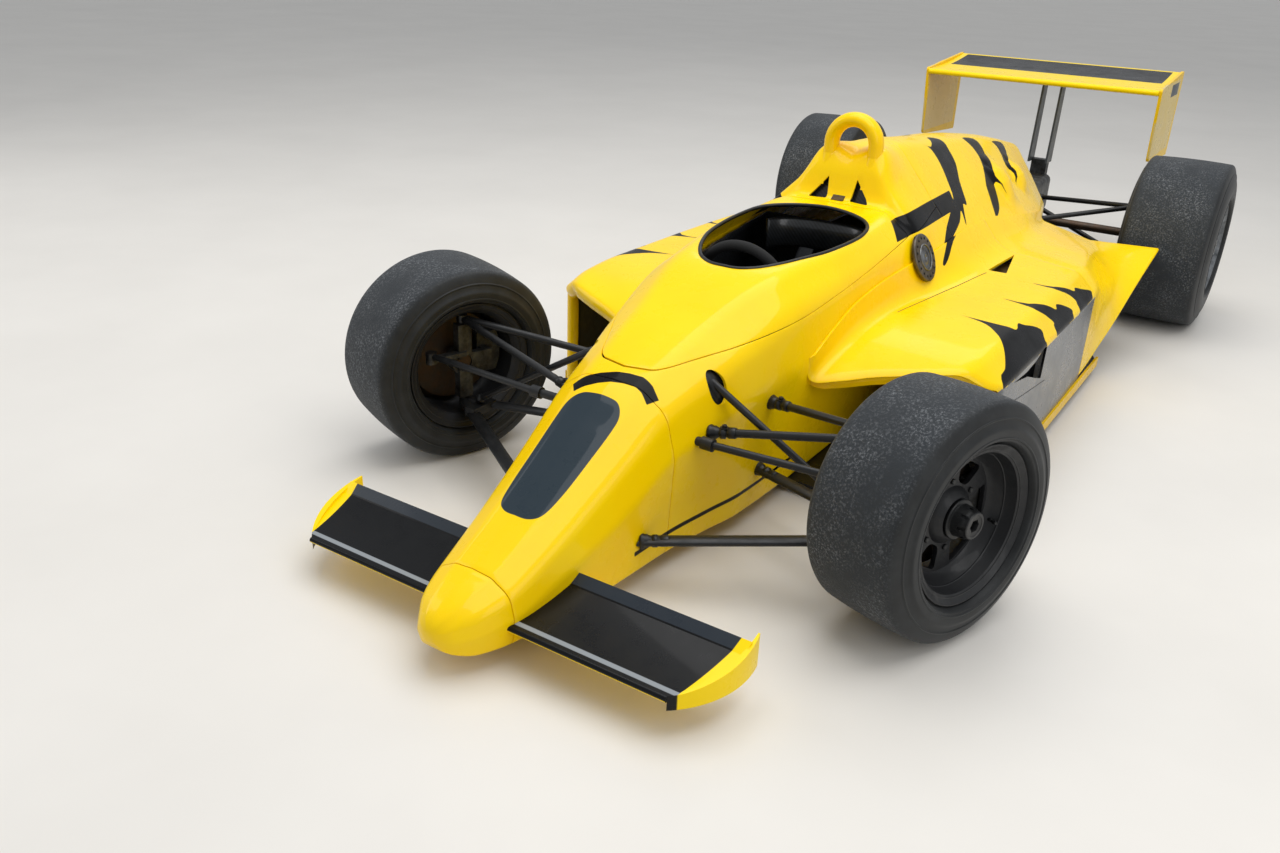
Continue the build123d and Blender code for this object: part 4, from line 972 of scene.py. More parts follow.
def seamLine(name, obj, points, side, toward):
    # dark joint between two panels, laid on the surface along a line of half width, station and height
    steps, standOff, radius = 24, 0.2, 1.1
    ends = [place(side * p[0], p[1], p[2]) for p in points]
    spots = []
    for a, b in zip(ends, ends[1:]):
        for k in range(steps):
            found, spot = obj.ray_cast(a.lerp(b, k / steps) - toward * standOff, toward)[:2]
            if found:
                spots.append(spot)
    makeObject(name, tubeAlong(spots, radius, segments=6), satinBlack)


def podRecess(word, side):
    # trays that close the vent and the slot from inside
    tray = block([place(0, s, z) for s, z in roundCorners(pods["tray"], 20)], side * axisX, 0.660, 0.664)
    makeObject(f"ventTray_{word}", tray, glossBlack, smooth=False)
    shelf = block([place(side * x, s, 0) for x, s in roundCorners(pods["shelf"], 12)], axisZ, 0.414, 0.418)
    makeObject(f"slotShelf_{word}", shelf, oldBrown, smooth=False)


def tailDeck(word, side):
    first, last = tail["rows"][0][0], tail["rows"][-1][0]
    count = round((last - first) / pods["spacing"])
    rows = []
    for k in range(count + 1):
        station = first + (last - first) * k / count
        rows.append([place(side * p[0], station, p[1]) for p in deckHalf(tailCurves, station)])
    obj = makeObject(f"tailDeck_{word}", sheet(rows, side), shopYellow)
    thicken(obj, tail["skin"])
    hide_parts(f"tail_deck_{word}")
    edge = [row[-1] for row in rows]
    lip = tubeAlong(edge, tail["lipRadius"], segments=10)
    makeObject(f"tailLip_{word}", lip, shopYellow)


for word, side in sideSigns:
    sidePod(word, side)
    podRecess(word, side)
    tailDeck(word, side)
print("pods and tail decks ready")


# Engine cover

cover = {
    # blisters over the cam boxes: station, height, length, breadth, rise
    "blisters": [(1985, 602, 110, 66, 30), (2290, 566, 94, 56, 26)],
}


def engineCover():
    bm = bodySkin(body["coverSeam"], body["coverEnd"])
    cutPlane(bm, place(0, 0, body["coverHem"]), -axisZ)
    bm.normal_update()
    for vertex in bm.verts:
        station, z = stationOf(vertex.co), vertex.co.z / mm
        rise = 0
        for s, h, along, across, height in cover["blisters"]:
            reach = ((station - s) / along) ** 2 + ((z - h) / across) ** 2
            rise += height * (1 - reach) ** 0.9 if reach < 1 else 0
        vertex.co += vertex.normal * rise * mm
    obj = thicken(makeObject("engineCoverPanel", bm, clawYellow), body["skin"])
    paintMarks(obj, flankMarks())
    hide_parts("engine_cover")


engineCover()
print("engine cover ready")


# Wheels: each is turned about its own X axis, which points outboard, then set on its axle

wheels = {
    "front": {"radius": 277, "section": 259, "tread": 225, "width": 230, "valveDegrees": -20,
              "finish": wheelBlack, "hardware": satinBlack, "slot": "rim_black"},
    "rear": {"radius": 323, "section": 340, "tread": 294, "width": 315, "valveDegrees": 40,
             "finish": wheelSilver, "hardware": boltSteel, "slot": "rim_silver"},
    "beadRadius": 165,
    "lipRadius": 182.5,
    # how far the face of the web lies inside the outer lip
    "webInset": 82,
    "segments": 120,
    # how far the tread's crown falls towards its edge, the rounded shoulder's breadth, and the depth of wear
    "crown": 4,
    "shoulder": 9,
    "treadDepth": 16,
    "windows": 6,
    "windowRadii": (74, 130),
    "windowDegrees": 36,
    "windowCorner": 14,
    # the nut and the drive pegs as distance outboard of the web's face and radius
    "nut": [(34, 26), (35, 44), (37, 46), (41, 46), (43, 44), (43.5, 37), (45, 36.2), (66, 35), (70, 33),
            (79, 30.6), (80.5, 29), (80.5, 24), (79, 23), (79, 0.01), (40, 0.01)],
    "socket": (79, 15),
    "notch": [(60, 32, -3.5), (60, 40, -3.5), (60, 40, 3.5), (60, 32, 3.5)],
    "notches": 8,
    "peg": [(12, 0.01), (12, 6.5), (16, 6.5), (17.5, 5), (17.5, 0.01)],
    "pegCircle": 78,
    # the valve's own profile, where it stands outboard of the web, and how far it leans
    "valve": [(0, 0.01), (0, 4), (14, 4), (15, 3), (22, 3), (23, 4.6), (32, 4.6), (34, 3), (34, 0.01)],
    "valvePlace": (22, 147),
    "valveLean": -28,
}


def lathe(profile, segments, closed=True):
    # turns a profile of (x, radius) in millimetres about the X axis
    rows = []
    for k in range(segments):
        angle = 2 * math.pi * k / segments
        rows.append([Vector((x, r * math.cos(angle), r * math.sin(angle))) * mm for x, r in profile])
    bm = gridMesh(rows + [rows[0]], closed)
    bmesh.ops.remove_doubles(bm, verts=bm.verts, dist=tiny)
    bmesh.ops.recalc_face_normals(bm, faces=bm.faces)
    return bm


def turned(profile, segments, matrix):
    # a lathe piece that stands along +Z of its matrix
    bm = lathe(profile, segments)
    bm.transform(matrix @ Matrix.Rotation(-math.pi / 2, 4, "Y"))
    return bm


def wheelMatrix(end, word, side):
    # stands at the middle of the tyre, with X out along the axle and Z as upright as the camber lets it
    low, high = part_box(f"tyre_{end}_{word}")
    axis = Vector(joints[f"{end}_spin_{word}"]["axis"])
    if axis.x * side < 0:
        axis = -axis
    upright = (axisZ - axis * axis.z).normalized()
    turn = Matrix((axis, upright.cross(axis), upright)).transposed().to_4x4()
    return Matrix.Translation((Vector(low) + Vector(high)) / 2) @ turn


def wallPoints(size):
    # from the tread's edge down the side wall to the bead, with the ribs that the mould leaves
    r, edge, wide = size["radius"], size["tread"] / 2, size["section"] / 2
    foot = wheels["beadRadius"] + 1
    lip = wheels["lipRadius"]
    middle = foot + 0.42 * (r - foot)
    return [(edge - 9, r - 4), (edge - 2, r - 8.5), (edge + 3, r - 17), (edge + 6.6, r - 27),
            (edge + 8.6, r - 34), (edge + 10.6, r - 35.5), (edge + 11, r - 38), (edge + 9.8, r - 40),
            (wide - 4.5, 0.5 * (middle + r - 36)), (wide - 0.6, middle + 6), (wide, middle),
            (wide - 0.5, middle - 10), (wide - 1, lip + 21), (wide + 0.4, lip + 18.5), (wide + 0.2, lip + 16),
            (wide - 2.4, lip + 14), (wide - 5, lip + 9), (edge - 4.6, lip + 2.4), (edge - 6, lip + 1.6),
            (edge - 6, foot)]


def tyreMesh(end, word, side):
    size = wheels[end]
    radius, edge, crown = size["radius"], size["tread"] / 2, wheels["crown"]
    flat, steps = edge - wheels["shoulder"], 16
    wall = openCurve(wallPoints(size), 4)[1:]
    top = []
    for k in range(steps + 1):
        x = -flat + 2 * flat * k / steps
        top.append((x, radius - crown * (x / flat) ** 2))
    bm = lathe([(-x, r) for x, r in reversed(wall)] + top + wall, wheels["segments"], closed=False)
    tread = bm.verts.layers.float.new("tread")
    for vertex in bm.verts:
        x, r = abs(vertex.co.x) / mm, math.hypot(vertex.co.y, vertex.co.z) / mm
        worn = min(1, max(0, (edge + 2 - x) / (0.16 * edge)))
        vertex[tread] = worn if r > radius - wheels["treadDepth"] else 0.0
    bm.transform(wheelMatrix(end, word, side))
    bmesh.ops.recalc_face_normals(bm, faces=bm.faces)
    return bm


def tyre(end, word, side):
    obj = makeObject(f"slickTyre_{end}_{word}", tyreMesh(end, word, side), slickRubber,
                     body=f"wheel_{end}_{word}")
    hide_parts(f"tyre_{end}_{word}")


def windowOutline(x):
    # one window of the web: a wedge with its corners rounded
    inner, outer = wheels["windowRadii"]
    half = math.radians(wheels["windowDegrees"] / 2)
    corners = []
    for r, share in ((inner, -0.8), (inner, 0.8), (outer, 1), (outer, -1)):
        corners.append((r * math.cos(half * share), r * math.sin(half * share)))
    return [Vector((x, y, z)) * mm for y, z in roundCorners(corners, wheels["windowCorner"], 6)]


def webFace(end):
    # how far outboard of the wheel's middle the face of its web lies
    return wheels[end]["width"] / 2 - wheels["webInset"]


def aroundAxle(count):
    return [Matrix.Rotation(2 * math.pi * k / count, 3, "X") for k in range(count)]


def rim(end, word, side):
    # the profile runs from the outer bead seat over the lip, down the web to the hub, and back behind it
    size = wheels[end]
    half, seat, web = size["width"] / 2, size["tread"] / 2 - 6, webFace(end)
    lip, bead = wheels["lipRadius"], wheels["beadRadius"]
    well = bead - 13
    outside = [(seat - 30, well), (seat - 20, bead - 0.5), (seat + 1, bead - 0.5), (half - 8, lip - 0.5),
               (half - 1.5, lip + 0.2), (half, lip - 1.5), (half, lip - 4), (half - 2, lip - 5.5)]
    inside = [(seat - 3, bead - 5), (seat - 20, bead - 7), (web + 34, well - 3.5), (web + 24, well - 8),
              (web + 15, well - 14), (web + 11, 134), (web + 12, 128), (web + 12, 76), (web + 13, 66),
              (web + 20, 62), (web + 24, 58), (web + 32, 50), (web + 34, 47), (web + 34, 25)]
    back = [(web, 25), (web, 128), (web + 4, well - 8), (web - 8, well - 3.5), (-seat + 20, well - 3.5),
            (-seat + 3, bead - 5), (-half + 2, lip - 5), (-half, lip - 4), (-half, lip - 1), (-half + 1.5, lip),
            (-half + 8, lip - 0.5), (-seat - 1, bead - 0.5), (-seat + 20, bead - 0.5), (-seat + 30, well)]
    obj = makeObject(f"rim_{end}_{word}_wheel", lathe(outside + inside + back, 144), size["finish"],
                     body=f"wheel_{end}_{word}")
    for turn in aroundAxle(wheels["windows"]):
        carve(obj, [turn @ p for p in windowOutline(web)], axisX, -0.03, 0.05)
    breakEdges(obj, width=1.6, segments=3, bevelDegrees=38, sharpDegrees=30)
    obj.data.transform(wheelMatrix(end, word, side))
    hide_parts(f"rim_{end}_{word}")


def centreNut(end, word, side):
    # collar, driving ring, castle nut and the hexagon socket in the end of the spindle
    web = webFace(end)
    bm = lathe([(web + x, r) for x, r in wheels["nut"]], 60)
    nut = makeObject(f"centreNut_{end}_{word}", bm, wheels[end]["hardware"], body=f"wheel_{end}_{word}")
    out, radius = wheels["socket"]
    corner = Vector((web + out, radius, 0)) * mm
    carve(nut, [turn @ corner for turn in aroundAxle(6)], axisX, -0.02, 0.01)
    notch = [Vector((web + x, y, z)) * mm for x, y, z in wheels["notch"]]
    for turn in aroundAxle(wheels["notches"]):
        carve(nut, [turn @ p for p in notch], axisX, 0, 0.02)
    breakEdges(nut, width=0.7, segments=2, bevelDegrees=35, sharpDegrees=30)
    nut.data.transform(wheelMatrix(end, word, side))


def rimTrim(end, word, side):
    # six drive pegs round the boss and the valve stem with its cap
    web = webFace(end)
    bm = bmesh.new()
    for k in range(wheels["windows"]):
        peg = lathe([(web + x, r) for x, r in wheels["peg"]], 16)
        angle = 2 * math.pi * (k + 0.5) / wheels["windows"]
        peg.transform(Matrix.Rotation(angle, 4, "X") @ Matrix.Translation(axisY * wheels["pegCircle"] * mm))
        copyInto(bm, peg)
    valve = lathe(wheels["valve"], 16)
    out, radius = wheels["valvePlace"]
    valve.transform(Matrix.Rotation(math.radians(wheels[end]["valveDegrees"]), 4, "X")
                    @ Matrix.Translation(Vector((web + out, radius, 0)) * mm)
                    @ Matrix.Rotation(math.radians(wheels["valveLean"]), 4, "Z"))
    copyInto(bm, valve)
    bm.transform(wheelMatrix(end, word, side))
    bmesh.ops.recalc_face_normals(bm, faces=bm.faces)
    obj = makeObject(f"rimTrim_{end}_{word}", bm, wheels[end]["hardware"], body=f"wheel_{end}_{word}")
    markSharp(obj, 35)


def copyInto(target, source):
    # adds one mesh to another and lets the first go
    mesh = meshFrom("part", source)
    target.from_mesh(mesh)
    bpy.data.meshes.remove(mesh)


for end in ("front", "rear"):
    for word, side in sideSigns:
        tyre(end, word, side)
        rim(end, word, side)
        centreNut(end, word, side)
        rimTrim(end, word, side)
print("wheels ready")


# Wings: the carried-over planes are painted by place, and the small parts are added

wings = {
    # front wing: stations of its leading edge and flap hinge, half width of the painted tip and its slant
    "leading": -706,
    "hinge": -542,
    "tip": 494,
    "tipLean": 0.2,
    # rear wing: stations of its edges, how far back the black band starts, half span
    "rearLeading": 3116,
    "rearTrailing": 3584,
    "rearBand": 205,
    "rearHalfSpan": 508,
    # end plates: front station, heights, half width of the outer face, bolts as station and height
    "plateFront": 3110,
    "plateTop": 880,
    "plateBottom": 540,
    "plateOuter": 514,
    "plateBolts": [(3200, 850), (3470, 850), (3200, 560), (3470, 560)],
    # half the width of a painted edge, in metres and in the slope of the surface
    "tapeEdge": 0.8 * mm,
    "liftSoftness": 0.05,
}


def bandMask(tree, value, low, high, soft):
    # one between low and high, nothing outside
    edges = []
    for limit, before, after in ((low, 0.0, 1.0), (high, 1.0, 0.0)):
        spread = {"Value": value, "From Min": limit - soft, "From Max": limit + soft, "To Min": before,
                  "To Max": after}
        edges.append(addNode(tree, "ShaderNodeMapRange", spread).outputs[0])
    return addNode(tree, "ShaderNodeMath", {"operation": "MULTIPLY", 0: edges[0], 1: edges[1]}).outputs[0]


def wingPaint(name, base, bands):
    # sprayed and lacquered carbon: a hard gloss with stone chips; bands are (colour, [(axis, low, high)])
    made = newMaterial(name, {"Coat Weight": 0.12, "Coat Roughness": 0.06, "IOR": 1.5,
                              "Specular IOR Level": 0.15})
    tree = made["tree"]
    split = addNode(tree, "ShaderNodeSeparateXYZ", {0: made["where"]}).outputs
    side = addNode(tree, "ShaderNodeMath", {"operation": "ABSOLUTE", 0: split[0]}).outputs[0]
    facing = addNode(tree, "ShaderNodeNewGeometry", {}).outputs["Normal"]
    lift = addNode(tree, "ShaderNodeSeparateXYZ", {0: facing}).outputs[2]
    lean = addNode(tree, "ShaderNodeMath", {"operation": "MULTIPLY", 0: split[1], 1: wings["tipLean"]})
    slant = addNode(tree, "ShaderNodeMath", {"operation": "SUBTRACT", 0: side, 1: lean.outputs[0]}).outputs[0]
    axes = {"side": side, "along": split[1], "height": split[2], "lift": lift, "slant": slant}
    layers = []
    for colour, limits in bands:
        masks = []
        for axis, low, high in limits:
            soft = wings["liftSoftness"] if axis == "lift" else wings["tapeEdge"]
            masks.append(bandMask(tree, axes[axis], low, high, soft))
        while len(masks) > 1:
            both = {"operation": "MULTIPLY", 0: masks.pop(), 1: masks.pop()}
            masks.append(addNode(tree, "ShaderNodeMath", both).outputs[0])
        layers.append((masks[0], colour))
    layers.append((patches(made, 5, (0.72, 0.8), (0.0, 0.06), detail=6.0, roughness=0.8), "#6B6C6C"))
    gloss = patches(made, 60, (0.3, 0.7), (0.22, 0.4))
    return finishSurface(made, base, layers, gloss, patches(made, 3, detail=2.0), 0.1, 0.25)


def alongRange(first, last):
    return ("along", (frontAxle + first) * mm, (frontAxle + last) * mm)


def frontWingPaint():
    # black above with a pale strip along its front that is partly bare worn paint and partly a painted
    # highlight of the leading edge, a slate flap, yellow below and on the slanted tip
    lead, hinge, tip = wings["leading"], wings["hinge"], wings["tip"] * mm
    edge = tip - wings["tipLean"] * (frontAxle + lead) * mm
    top = ("lift", 0.3, 2)
    return wingPaint("frontWingLacquer", "#0A0B0D", [
        # pale grey strip: painted highlight along the rounded leading edge, over paint worn bare there
        ("#8C9195", [alongRange(lead + 9, lead + 21), top, ("slant", -9, edge)]),
        ("#2B3138", [alongRange(hinge + 2, hinge + 90), top]),
        ("#050506", [alongRange(hinge - 2, hinge + 2), top]),
        ("#FFDA00", [("lift", -2, -0.2)]),
        ("#FFDA00", [("slant", edge, 9)]),
    ])


def rearWingPaint():
    lead, trail, half = wings["rearLeading"], wings["rearTrailing"], wings["rearHalfSpan"] * mm
    band = [alongRange(lead + wings["rearBand"], trail - 16), ("lift", 0.2, 2), ("side", -1, half - 0.03)]
    return wingPaint("rearWingLacquer", "#FFDA00", [("#07080A", band)])


def plateVarnish():
    # inner face, outer face and the blank plate on it
    front, top, bottom = wings["plateFront"], wings["plateTop"] * mm, wings["plateBottom"] * mm
    inner = ("side", -1, (wings["rearHalfSpan"] + 1) * mm)
    outer = ("side", (wings["rearHalfSpan"] + 5) * mm, 1)
    return wingPaint("endPlateLacquer", "#F6C91A", [
        ("#DCC48A", [alongRange(front + 34, front + 458), ("height", bottom + 0.014, top - 0.03), inner]),
        ("#E3C877", [alongRange(front + 20, front + 458), ("height", bottom + 0.014, top - 0.02), outer]),
        ("#39434C", [alongRange(front + 250, front + 420), ("height", top - 0.085, top - 0.032), outer]),
    ])


def ring(radius, z, count):
    turns = [2 * math.pi * k / count for k in range(count)]
    return [Vector((radius * math.cos(a), radius * math.sin(a), z)) * mm for a in turns]


def hexBolt(radius, height, matrix, washer=1.6):
    # a hexagon head with a chamfered crown on a washer, along +Z of its matrix
    seat = 0.25 * height
    bm = skinLoops(bmesh.new(), [ring(radius * washer, z, 24) for z in (0, seat)])
    skinLoops(bm, [ring(radius, seat, 6), ring(radius, 0.88 * height, 6), ring(0.82 * radius, height, 6)])
    bm.transform(matrix)
    return bm


def aim(point, direction):
    # a matrix at a point in millimetre stations, its Z along the direction
    return Matrix.Translation(place(*point)) @ Vector(direction).to_track_quat("Z", "Y").to_matrix().to_4x4()


def boltSet(name, rows, material):
    # rows are (point, direction, radius, height)
    bm = bmesh.new()
    for point, direction, radius, height in rows:
        copyInto(bm, hexBolt(radius, height, aim(point, direction)))
    makeObject(name, bm, material, smooth=False)


def wingHardware():
    rows = []
    for side in (-1, 1):
        for station, z in wings["plateBolts"]:
            rows.append(((side * wings["plateOuter"], station, z), (side, 0, 0), 5, 4))
    boltSet("wingBolts", rows, boltSteel)


frontLacquer, rearLacquer, plateLacquer = frontWingPaint(), rearWingPaint(), plateVarnish()


# Filler: a worn flange with a ring of dark bolts round its recessed cap

filler = {
    "place": (285, 985, 532),
    "tilt": 67,
    "boltCircle": 58,
    "bolts": 16,
    # height above the solid's top and radius
    "ring": [(-1, 36), (2.2, 36.5), (3.4, 38), (2.6, 40.5), (-1, 41.5)],
    "cap": [(-12, 0.01), (-12, 33), (-0.5, 35.5), (0.5, 34), (-1.5, 30), (-1.5, 20), (0, 18.5), (0, 0.01)],
    "flange": [(-12, 61), (-12, 71), (-3, 72), (-1.2, 70.5), (-0.4, 66), (-0.4, 61)],
}


def fillerDetail():
    tilt = math.radians(filler["tilt"])
    base = aim(filler["place"], (math.sin(tilt), 0, math.cos(tilt)))
    reach = max((base.inverted() @ v.co).z for v in cadNodes["fuel_filler"].data.vertices)
    top = base @ Matrix.Translation(axisZ * reach)
    bm = bmesh.new()
    for spot in ring(filler["boltCircle"], 0, filler["bolts"]):
        copyInto(bm, hexBolt(2.6, 2.4, top @ Matrix.Translation(spot), 1.7))
    makeObject("fillerBolts", bm, satinBlack, smooth=False)
    makeObject("fillerRing", turned(filler["ring"], 72, top), boltSteel)
    makeObject("fillerCap", turned(filler["cap"], 60, top), boltSteel)
    makeObject("fillerFlange", turned(filler["flange"], 96, top), fillerBronze)


# Cockpit

interior = {
    # the liner: first and last station, set-in, sections, points of a half section
    "liner": {"first": -150, "last": 985, "inset": 18, "sections": 60, "points": 26},
    # belts on the left as half width, station and height, and their width
    "shoulderBelt": [(52, 905, 520), (54, 880, 480), (56, 850, 380), (58, 800, 270), (50, 740, 180),
                     (40, 680, 150)],
    "lapBelt": [(150, 780, 190), (112, 745, 176), (70, 715, 162), (30, 690, 152)],
    "beltWidths": {"shoulderBelt": 48, "lapBelt": 46},
    "buckle": [(0, 0.01), (0, 24), (8, 25), (13, 22), (15, 16), (15, 0.01)],
    "bucklePlace": (0, 684, 152),
    # the head pad: half its line in plan as half width and station, and its section as set-in and height
    "padPlan": [(0, 958), (60, 954), (112, 938), (152, 905), (176, 860)],
    "padSection": [(2, 600), (14, 604), (22, 596), (24, 560), (22, 520), (12, 508), (2, 512), (0, 556)],
    "padCentre": 700,
    # the bare plate between the vents: stations of its ends and half width
    "plate": (974, 992, 20),
    # the dark board behind the vents: place, lean in radians and size
    "ventBoard": ((0, 1022, 692), -0.35, (250, 4, 96)),
}


def surfaceHeight(station, x):
    # height of the centre body's top above a point of the plan
    x = abs(x)
    half = bodyHalf(station)
    for a, b in zip(half, half[1:]):
        if a[0] <= x <= b[0] and b[0] > a[0]:
            return a[1] + (b[1] - a[1]) * (x - a[0]) / (b[0] - a[0])
    return half[0][1]


def cockpitBead():
    points = [place(x, s, surfaceHeight(s, x) - 1) for x, s in cockpitLoop()]
    bm = tubeAlong(points, cockpit["beadRadius"], closed=True, segments=12)
    makeObject("cockpitBead", bm, trimRubber)


def cockpitLiner():
    # inner shell of the tub, set in from the skin, with its floor and the bulkhead behind the seat
    liner = interior["liner"]
    first, last, count = liner["first"], liner["last"], liner["sections"]
    rows = []
    for k in range(count + 1):
        station = first + (last - first) * k / count
        top = cockpitDrop(station)
        line = []
        for x, z in (p for p in bodyHalf(station) if p[1] <= top):
            scale = 1 - liner["inset"] / max(x, 40)
            line.append((x * scale, max(z, body["floorTop"])))
        line = resample(line, liner["points"])
        line += [(-x, z) for x, z in line[-2::-1]]
        rows.append([place(x, station, z) for x, z in line])
    bm = gridMesh(rows)
    bmesh.ops.recalc_face_normals(bm, faces=bm.faces)
    obj = makeObject("cockpitLiner", bm, linerBlack)
    applyModifier(obj, "SOLIDIFY", thickness=3 * mm, offset=0)
    makeObject("seatBulkhead", block(rows[-1], axisY, 0, 6 * mm), linerBlack, smooth=False)


def cockpitDrop(station):
    # the liner stops just under the seam of the cowl
    return body["seamHeight"] + math.tan(math.radians(body["seamSlope"])) * station - 6


def resample(line, count):
    # the same line with evenly spread points
    lengths = [0.0]
    for a, b in zip(line, line[1:]):
        lengths.append(lengths[-1] + math.hypot(b[0] - a[0], b[1] - a[1]))
    out = []
    for k in range(count + 1):
        goal = lengths[-1] * k / count
        i = min(max(j for j in range(len(lengths)) if lengths[j] <= goal + tiny / 1000), len(line) - 2)
        span = lengths[i + 1] - lengths[i]
        t = (goal - lengths[i]) / span if span > tiny / 1000 else 0
        a, b = line[i], line[i + 1]
        out.append((a[0] + (b[0] - a[0]) * t, a[1] + (b[1] - a[1]) * t))
    return out


def beltStrap(word, side, belt):
    # webbing laid along points with its width across X, a little hollow over the body
    width = interior["beltWidths"][belt]
    thirds = [k / 3 - 1 for k in range(7)]
    rows = []
    for x, s, z in openCurve(interior[belt]):
        rows.append([place(side * x + width * k / 2, s, z - 1.5 * k * k) for k in thirds])
    obj = makeObject(f"{belt}_{word}", gridMesh(rows), webbing)
    applyModifier(obj, "SOLIDIFY", thickness=2.2 * mm, offset=0)


def harness():
    for word, side in sideSigns:
        for belt in ("shoulderBelt", "lapBelt"):
            beltStrap(word, side, belt)
    buckle = turned(interior["buckle"], 40, Matrix.Translation(place(*interior["bucklePlace"])))
    makeObject("beltBuckle", buckle, boltSteel)


def headPad():
    # thick glossy pad under the headrest's face, wrapped round behind the driver
    half = interior["padPlan"]
    rows = []
    for x, s in openCurve([(-x, s) for x, s in half[:0:-1]] + half):
        inward = Vector((-x, interior["padCentre"] - s)).normalized()
        rows.append([place(x + inward.x * a, s + inward.y * a, z) for a, z in interior["padSection"]])
    bm = gridMesh(rows, closed=True)
    bmesh.ops.holes_fill(bm, edges=[e for e in bm.edges if e.is_boundary], sides=0)
    bmesh.ops.recalc_face_normals(bm, faces=bm.faces)
    makeObject("headPad", bm, linerBlack)


def headrestDetail():
    # black board behind the two vents and the bare plate between them
    spot, lean, size = interior["ventBoard"]
    bm = bmesh.new()
    bmesh.ops.create_cube(bm, size=1, matrix=Matrix.Translation(place(*spot)) @ Matrix.Rotation(lean, 4, "X")
                          @ Matrix.Diagonal(Vector(size) * mm).to_4x4())
    bmesh.ops.bevel(bm, geom=bm.edges[:], offset=1.5 * mm, segments=2, affect="EDGES")
    makeObject("ventBacks", bm, linerBlack, smooth=False)
    front, back, half = interior["plate"]
    ends = ((-half, front), (half, front), (half, back), (-half, back))
    low = [place(x, s, surfaceHeight(s, x) + 1) for x, s in ends]
    centre = sum(low, Vector()) / 4
    normal = (low[1] - low[0]).cross(low[3] - low[0]).normalized()
    high = [centre + (p - centre) * 0.95 + normal * 2 * mm for p in low]
    bm = skinLoops(bmesh.new(), [low, high])
    bmesh.ops.recalc_face_normals(bm, faces=bm.faces)
    makeObject("blankPlate", bm, oldBrown, smooth=False)


wingHardware()
fillerDetail()
cockpitBead()
cockpitLiner()
harness()
headPad()
headrestDetail()
print("wings, filler and cockpit ready")


# Suspension: rod ends, bosses and bolts where each leg meets the body

arms = {
    # feet on the left and the joints that their legs run to, as half width, station, height
    "front": [((146, -316, 128), (648, 0, 158)), ((214, 133, 158), (648, 0, 158)),
              ((194, -86, 330), (648, 0, 404)), ((230, 140, 342), (648, 0, 404))],
    "rear": [((112, 2400, 340), (575, 2690, 430)), ((100, 2960, 360), (575, 2690, 430))],
    # feet above this height carry a bolt
    "upperFrom": 300,
    "collarRadius": 13.5,
    "bossRadius": 19,
    # distance along the leg and share of the radius
    "rodEnd": [(0, 0), (0, 0.62), (3, 0.7), (5, 1.1), (16, 1.1), (18, 0.8), (22, 0.78), (24, 1), (40, 1),
               (44, 0.86), (44, 0)],
    "boss": [(-4, 0), (-4, 1), (0, 1.02), (3, 1), (8, 0.82), (12, 0.86), (17, 0.7), (24, 0.58), (27, 0.5),
             (27, 0)],
}


def along(a, b, distance):
    return a + (b - a).normalized() * distance


def turnedEnd(profile, radius, segments, start, end, first):
    # a turned piece on a leg, from a distance out along it
    shape = [(x, max(share * radius, 0.01)) for x, share in profile]
    return turned(shape, segments, aim(along(start, end, first), end - start))


def skinDistance(start, end):
    # how far along the leg its centre leaves the body's side
    for k in range(0, 300, 2):
        p = along(start, end, k)
        if abs(p.x) > flankX(p.y, p.z) - 1:
            return k
    return 0


def legs(end):
    for side in (-1, 1):
        for foot, joint in arms[end]:
            yield tuple(Vector((side * x, s, z)) for x, s, z in (foot, joint))


def frontArmDetail():
    # a rubber boot where each leg leaves the body, then its lock nut, neck and ferrule
    bm = bmesh.new()
    bolts = []
    for a, b in legs("front"):
        first = skinDistance(a, b)
        copyInto(bm, turnedEnd(arms["boss"], arms["bossRadius"], 28, a, b, first))
        copyInto(bm, turnedEnd(arms["rodEnd"], arms["collarRadius"], 20, a, b, first + 20))
        if a.z > arms["upperFrom"]:
            bolts.append((along(a, b, first + 33) + Vector((0, 0, 12)), (0, 0, 1), 6.5, 8))
    makeObject("frontArmEnds", bm, satinBlack)
    boltSet("frontArmBolts", bolts, satinBlack)


def rearArmDetail():
    bm = bmesh.new()
    for a, b in legs("rear"):
        copyInto(bm, turnedEnd(arms["rodEnd"], arms["collarRadius"], 20, a, b, 24))
    makeObject("rearArmEnds", bm, satinBlack)


frontArmDetail()
rearArmDetail()
print("suspension details ready")


# Carried-over parts get their finishes

# the floor is black laminate with its outer edge turned up and painted
floorEdge = [("side", 0.6905, 2), ("height", 0.02, 0.2)]
boardPaint = wingPaint("floorLaminate", "#1A1B1D", [("#EFC000", floorEdge)])

finishes = [
    (boardPaint, ["floor"]),
    (frontLacquer, ["front_wing_left", "front_wing_right"]),
    (rearLacquer, ["rear_wing"]),
    (plateLacquer, ["rear_end_plates"]),
    (postGrey, ["wing_posts"]),
    (gearCast, ["engine_block", "gearbox", "rear_uprights", "upright_front_left", "upright_front_right"]),
    (coreAlloy, ["radiators"]),
    (lampRed, ["rear_lamp"]),
    (fillerBronze, ["fuel_filler"]),
    (carbonBlack, ["seat"]),
    (boardBlack, ["dash_panel"]),
    (satinBlack, ["upper_wishbones", "lower_wishbones", "front_push_rods", "rear_wishbones",
                  "steering_rack"]),
    (suedeBlack, ["steering_wheel"]),
    (boltSteel, ["steering_column"]),
    (shopYellow, ["roll_hoop"]),
    (brakeIron, ["hub_front_left", "hub_front_right", "hub_rear_left", "hub_rear_right"]),
    (slickRubber, ["tyre_front_left", "tyre_front_right", "tyre_rear_left", "tyre_rear_right"]),
    (wheelBlack, ["rim_front_left", "rim_front_right"]),
    (wheelSilver, ["rim_rear_left", "rim_rear_right"]),
]
for material, names in finishes:
    for name in names:
        materials = cadNodes[name].data.materials
        materials.clear()
        materials.append(material)


# Stage, light and camera

